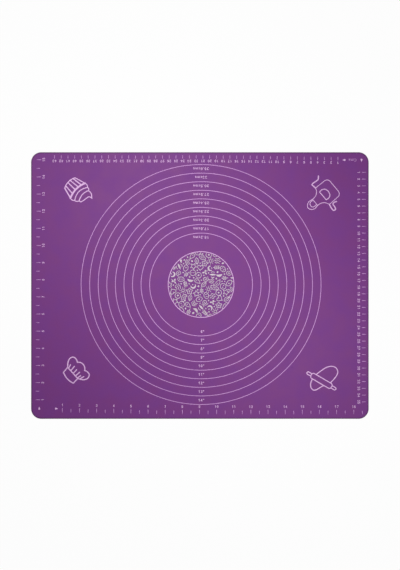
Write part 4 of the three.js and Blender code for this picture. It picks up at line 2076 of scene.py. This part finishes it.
@dataclass
class MiddlePanel(Print):
    """A rim and a close-set field of small drawings, with dots in the gaps between them.

    Args:
        x: Its middle along the mat.
        y: Its middle across the mat.
        diameter: Diameter over the rim.
        rim: Breadth of the rim's line.
        rim_steps: Stretches round the rim.
        pitch: Distance between neighbouring drawings.
        size: Radius of a drawing.
        overhang: How far past the rim's inside a drawing's middle may lie, as a share of its radius.
        line: Breadth of a drawing's line.
        stride: Step through the motifs from one drawing to the next.
        trim_rate: Points for each millimetre of a line that is cut off at the rim.
        least: Fewest points of what is left of such a line.
        fillers: Number of dots in the gaps.
        filler_share: Radius of a dot, as a share of the room in its gap.
        filler_room: Room that a dot takes up, as a share of the room in its gap.
        search: Distance between the places where gaps are looked for.
        seed: Start of the random turns.
        draws: Number of random turns.
    """

    x: float
    y: float
    diameter: float
    rim: float = 1.05
    rim_steps: int = 140
    pitch: float = 9.9
    size: float = 4.7
    overhang: float = 0.7
    line: float = 0.95
    stride: int = 7
    trim_rate: int = 3
    least: int = 3
    fillers: int = 40
    filler_share: float = 0.4
    filler_room: float = 0.62
    search: float = 0.6
    seed: int = 7
    draws: int = 400

    @property
    def reach(self) -> float:
        """Radius inside the rim."""
        return self.diameter / 2 - self.rim

    def trimmed(self, stroke: Stroke) -> list[Stroke]:
        """Cuts a line off at the rim, where a drawing runs over it.

        The line is first divided into short stretches. Then the points whose breadth lies inside
        the rim stay, as one line for each run of them.

        Args:
            stroke: The line in its place about the panel's middle.

        Returns:
            What is left of it.
        """
        path = stroke.path
        breadth = np.full(len(path), self.line) if stroke.breadth is None else stroke.breadth
        if np.all(np.hypot(*path.T) + breadth / 2 < self.reach):
            return [stroke]
        if stroke.closed:
            path, breadth = chain(path, path[:1]), np.append(breadth, breadth[0])
        along = np.append(0, np.cumsum(np.hypot(*np.diff(path, axis=0).T)))
        fine = np.linspace(0, along[-1], max(self.least, int(self.trim_rate * along[-1])))
        path = np.stack([np.interp(fine, along, axis) for axis in path.T], axis=1)
        breadth = np.interp(fine, along, breadth)
        inside = np.hypot(*path.T) + breadth / 2 < self.reach
        runs = np.split(np.arange(len(fine)), np.flatnonzero(np.diff(inside)) + 1)
        left = [part for part in runs if inside[part[0]] and len(part) >= self.least]
        return [Stroke(path[part], False, breadth[part]) for part in left]

    def inked(self, strokes: Sequence[Stroke], radius: float, turn: float, spot: np.ndarray) -> list[Form]:
        """Inks a drawing at its size, turn and place, as far as it lies inside the rim.

        Args:
            strokes: Its lines, in a circle of radius 1.
            radius: Its size.
            turn: Its turn in radians.
            spot: Its middle, from the panel's.

        Returns:
            Its lines of ink.
        """
        pen = InkPen(self.line)
        forms = []
        for stroke in strokes:
            breadth = None if stroke.breadth is None else stroke.breadth * radius
            placed = Stroke(turned(stroke.path * radius, turn) + spot, stroke.closed, breadth)
            for part in self.trimmed(placed):
                form = pen.line(part.path, part.closed, breadth=part.breadth)
                forms.append(form.set_down(0, self.x, self.y))
        return forms

    def spots(self) -> np.ndarray:
        """Middles of the drawings, on a sunflower spiral.

        Each lies a golden angle on from the last, at a radius that grows with the square root of
        its number, so that every one has the same room.

        Returns:
            Plan points about the panel's middle.
        """
        spread = self.pitch / math.sqrt(math.pi)
        room = self.reach + self.overhang * self.size
        number = np.arange(int((room / spread) ** 2))
        radius = spread * np.sqrt(number + 0.5)
        angle = math.pi * (3 - math.sqrt(5)) * number
        return np.column_stack([radius * np.cos(angle), radius * np.sin(angle)])

    def gaps(self, taken: np.ndarray) -> list[tuple[np.ndarray, float]]:
        """The roomiest gaps, each found as the grid point furthest from all that is there.

        Args:
            taken: Points on the drawings' lines.

        Returns:
            Middle and free radius of each gap, widest first.
        """
        batches = 40
        line = np.arange(-self.reach, self.reach, self.search)
        grid = np.stack(np.meshgrid(line, line), axis=-1).reshape(-1, 2)
        room = self.reach - np.hypot(*grid.T)
        for part in np.array_split(taken, batches):
            apart = np.hypot(*(grid[:, None, :] - part[None]).transpose(2, 0, 1))
            room = np.minimum(room, apart.min(axis=1))
        found = []
        for _ in range(self.fillers):
            best = int(np.argmax(room))
            found.append((grid[best], float(room[best])))
            room = np.minimum(room, np.hypot(*(grid - grid[best]).T) - self.filler_room * room[best])
        return found

    def build(self) -> list[bpy.types.Object]:
        """Makes the rim as one piece and the field of drawings as another.

        Returns:
            The two pieces.
        """
        turns = np.random.default_rng(self.seed).uniform(0, 2 * math.pi, self.draws)
        motifs = list(Motif)
        forms: list[Form] = []
        for number, spot in enumerate(self.spots()):
            motif = motifs[(number * self.stride) % len(motifs)]
            forms += self.inked(motif.strokes(), self.size, turns[number], spot)
        taken = chain(*(form.points[:, :2] for form in forms)) - (self.x, self.y)
        for (spot, free), turn in zip(self.gaps(taken), turns[::-1]):
            forms += self.inked([dot(1.0)], self.filler_share * free, turn, spot)
        circle = loop((self.diameter - self.rim) / 2, self.x, self.y, self.rim_steps)
        ring = InkPen(self.rim).line(circle, closed=True)
        return [
            self.ink("ink_panel_rim", [ring], ["panel_rim"]),
            self.ink("ink_panel_drawings", forms, ["panel_film"], PanelInk()),
        ]


# Studio

@dataclass(frozen=True)
class SoftLamp:
    """A square softbox that faces straight down.

    Args:
        name: Its name.
        place: Its middle in metres.
        side: Its side in metres.
        power: Its power in watts.
    """

    name: str
    place: tuple[float, float, float]
    side: float
    power: float

    def build(self) -> None:
        """Makes the lamp, which the camera doesn't see."""
        data = bpy.data.lights.new(self.name, "AREA")
        data.size, data.energy = self.side, self.power
        lamp = bpy.data.objects.new(self.name, data)
        lamp.location = self.place
        lamp.visible_camera = False
        bpy.context.scene.collection.objects.link(lamp)


@dataclass(frozen=True)
class Studio:
    """A pale floor, three softboxes, an even fill and a camera straight above the mat, in metres.

    Args:
        floor_reach: Half the floor's side.
        floor_level: Its level, just below the mat.
        floor_colour: Its colour.
        floor_glow: Share of white in what the camera sees of it.
        white: Strength of that white, and of the world's.
        fill: Strength of the even fill.
        lens: The camera's focal length in millimetres.
        camera: The camera's place.
        lamps: The softboxes.
    """

    floor_reach: float = 12.0
    floor_level: float = -0.0002
    floor_colour: Colour = (0.92, 0.92, 0.92)
    floor_glow: float = 0.96
    white: float = 1.0
    fill: float = 0.285
    lens: float = 85.0
    camera: tuple[float, float, float] = (0.00016, 0.0008, 1.995)
    lamps: tuple[SoftLamp, ...] = (
        SoftLamp("softbox_back_left", (-0.087, 0.190, 0.505), 0.2, 1.455),
        SoftLamp("softbox_front_right", (0.146, -0.113, 0.358), 0.2, 0.435),
        SoftLamp("softbox_middle", (-0.03, -0.03, 0.30), 0.2, 0.044),
    )

    @staticmethod
    def seen(bench: NodeBench) -> bpy.types.NodeSocket:
        """1 for what the camera sees, straight, by reflection or through something, otherwise 0.

        Args:
            bench: The node tree.

        Returns:
            That value.
        """
        path = bench.node("ShaderNodeLightPath").outputs
        straight = bench.sum("MAXIMUM", path["Is Camera Ray"], path["Is Glossy Ray"])
        return bench.sum("MAXIMUM", straight, path["Is Transmission Ray"])

    def floor(self) -> None:
        """A flat pale floor that glows white to the camera, and still shows a shadow."""
        reach = self.floor_reach
        corners = [(-reach, -reach), (reach, -reach), (reach, reach), (-reach, reach)]
        mesh = bpy.data.meshes.new("floor")
        mesh.from_pydata([(x, y, self.floor_level) for x, y in corners], [], [(0, 1, 2, 3)])
        material = bpy.data.materials.new("floor_pale")
        material.use_nodes = True
        bench = NodeBench(material.node_tree)
        matt = bench.node("ShaderNodeBsdfDiffuse", {"Color": (*self.floor_colour, 1)})
        glow = bench.node("ShaderNodeEmission", {"Color": WHITE, "Strength": self.white})
        share = bench.sum("MULTIPLY", self.seen(bench), self.floor_glow)
        mixed = bench.node("ShaderNodeMixShader", {0: share, 1: matt.outputs[0], 2: glow.outputs[0]})
        bench.node("ShaderNodeOutputMaterial", {"Surface": mixed.outputs[0]})
        mesh.materials.append(material)
        floor = bpy.data.objects.new("floor", mesh)
        bpy.context.scene.collection.objects.link(floor)

    def world(self) -> None:
        """An even fill light that looks white to the camera."""
        world = bpy.data.worlds.new("studio")
        world.use_nodes = True
        bench = NodeBench(world.node_tree)
        fill, white = (
            bench.node("ShaderNodeBackground", {"Color": WHITE, "Strength": strength}).outputs[0]
            for strength in (self.fill, self.white)
        )
        mixed = bench.node("ShaderNodeMixShader", {0: self.seen(bench), 1: fill, 2: white}).outputs[0]
        bench.node("ShaderNodeOutputWorld", {"Surface": mixed})
        bpy.context.scene.world = world

    def build(self) -> None:
        """Makes the camera, the lamps, the world and the floor."""
        scene = bpy.context.scene
        data = bpy.data.cameras.new("camera")
        data.lens = self.lens
        camera = bpy.data.objects.new("camera", data)
        camera.location = self.camera
        scene.collection.objects.link(camera)
        scene.camera = camera
        scene.view_settings.view_transform = "Standard"
        for lamp in self.lamps:
            lamp.build()
        self.world()
        self.floor()


def main() -> None:
    """Builds the studio, the mat and its print."""
    logging.basicConfig(level=logging.INFO, format="%(name)s %(message)s")
    Studio().build()
    _, sheet = frame_plan("kneading_face")
    middle, panel = frame_plan("panel_rim")
    lay = Lay(Cut(*sheet))
    laminate = Laminate(lay)
    layers = laminate.build()
    face = laminate.face
    circles = MeasuringCircles(lay, face, *middle)
    parts = [
        circles,
        CircleLabels(lay, face, circles),
        *rulers(lay, face),
        Arrowheads(lay, face),
        Cupcake(lay, face),
        Apron(lay, face),
        ChefHat(lay, face),
        RollingPin(lay, face),
        MiddlePanel(lay, face, *middle, panel[0]),
    ]
    prints = [piece for part in parts for piece in part.build()]
    laminate.declare(layers, prints)


if __name__ == "__main__":
    main()
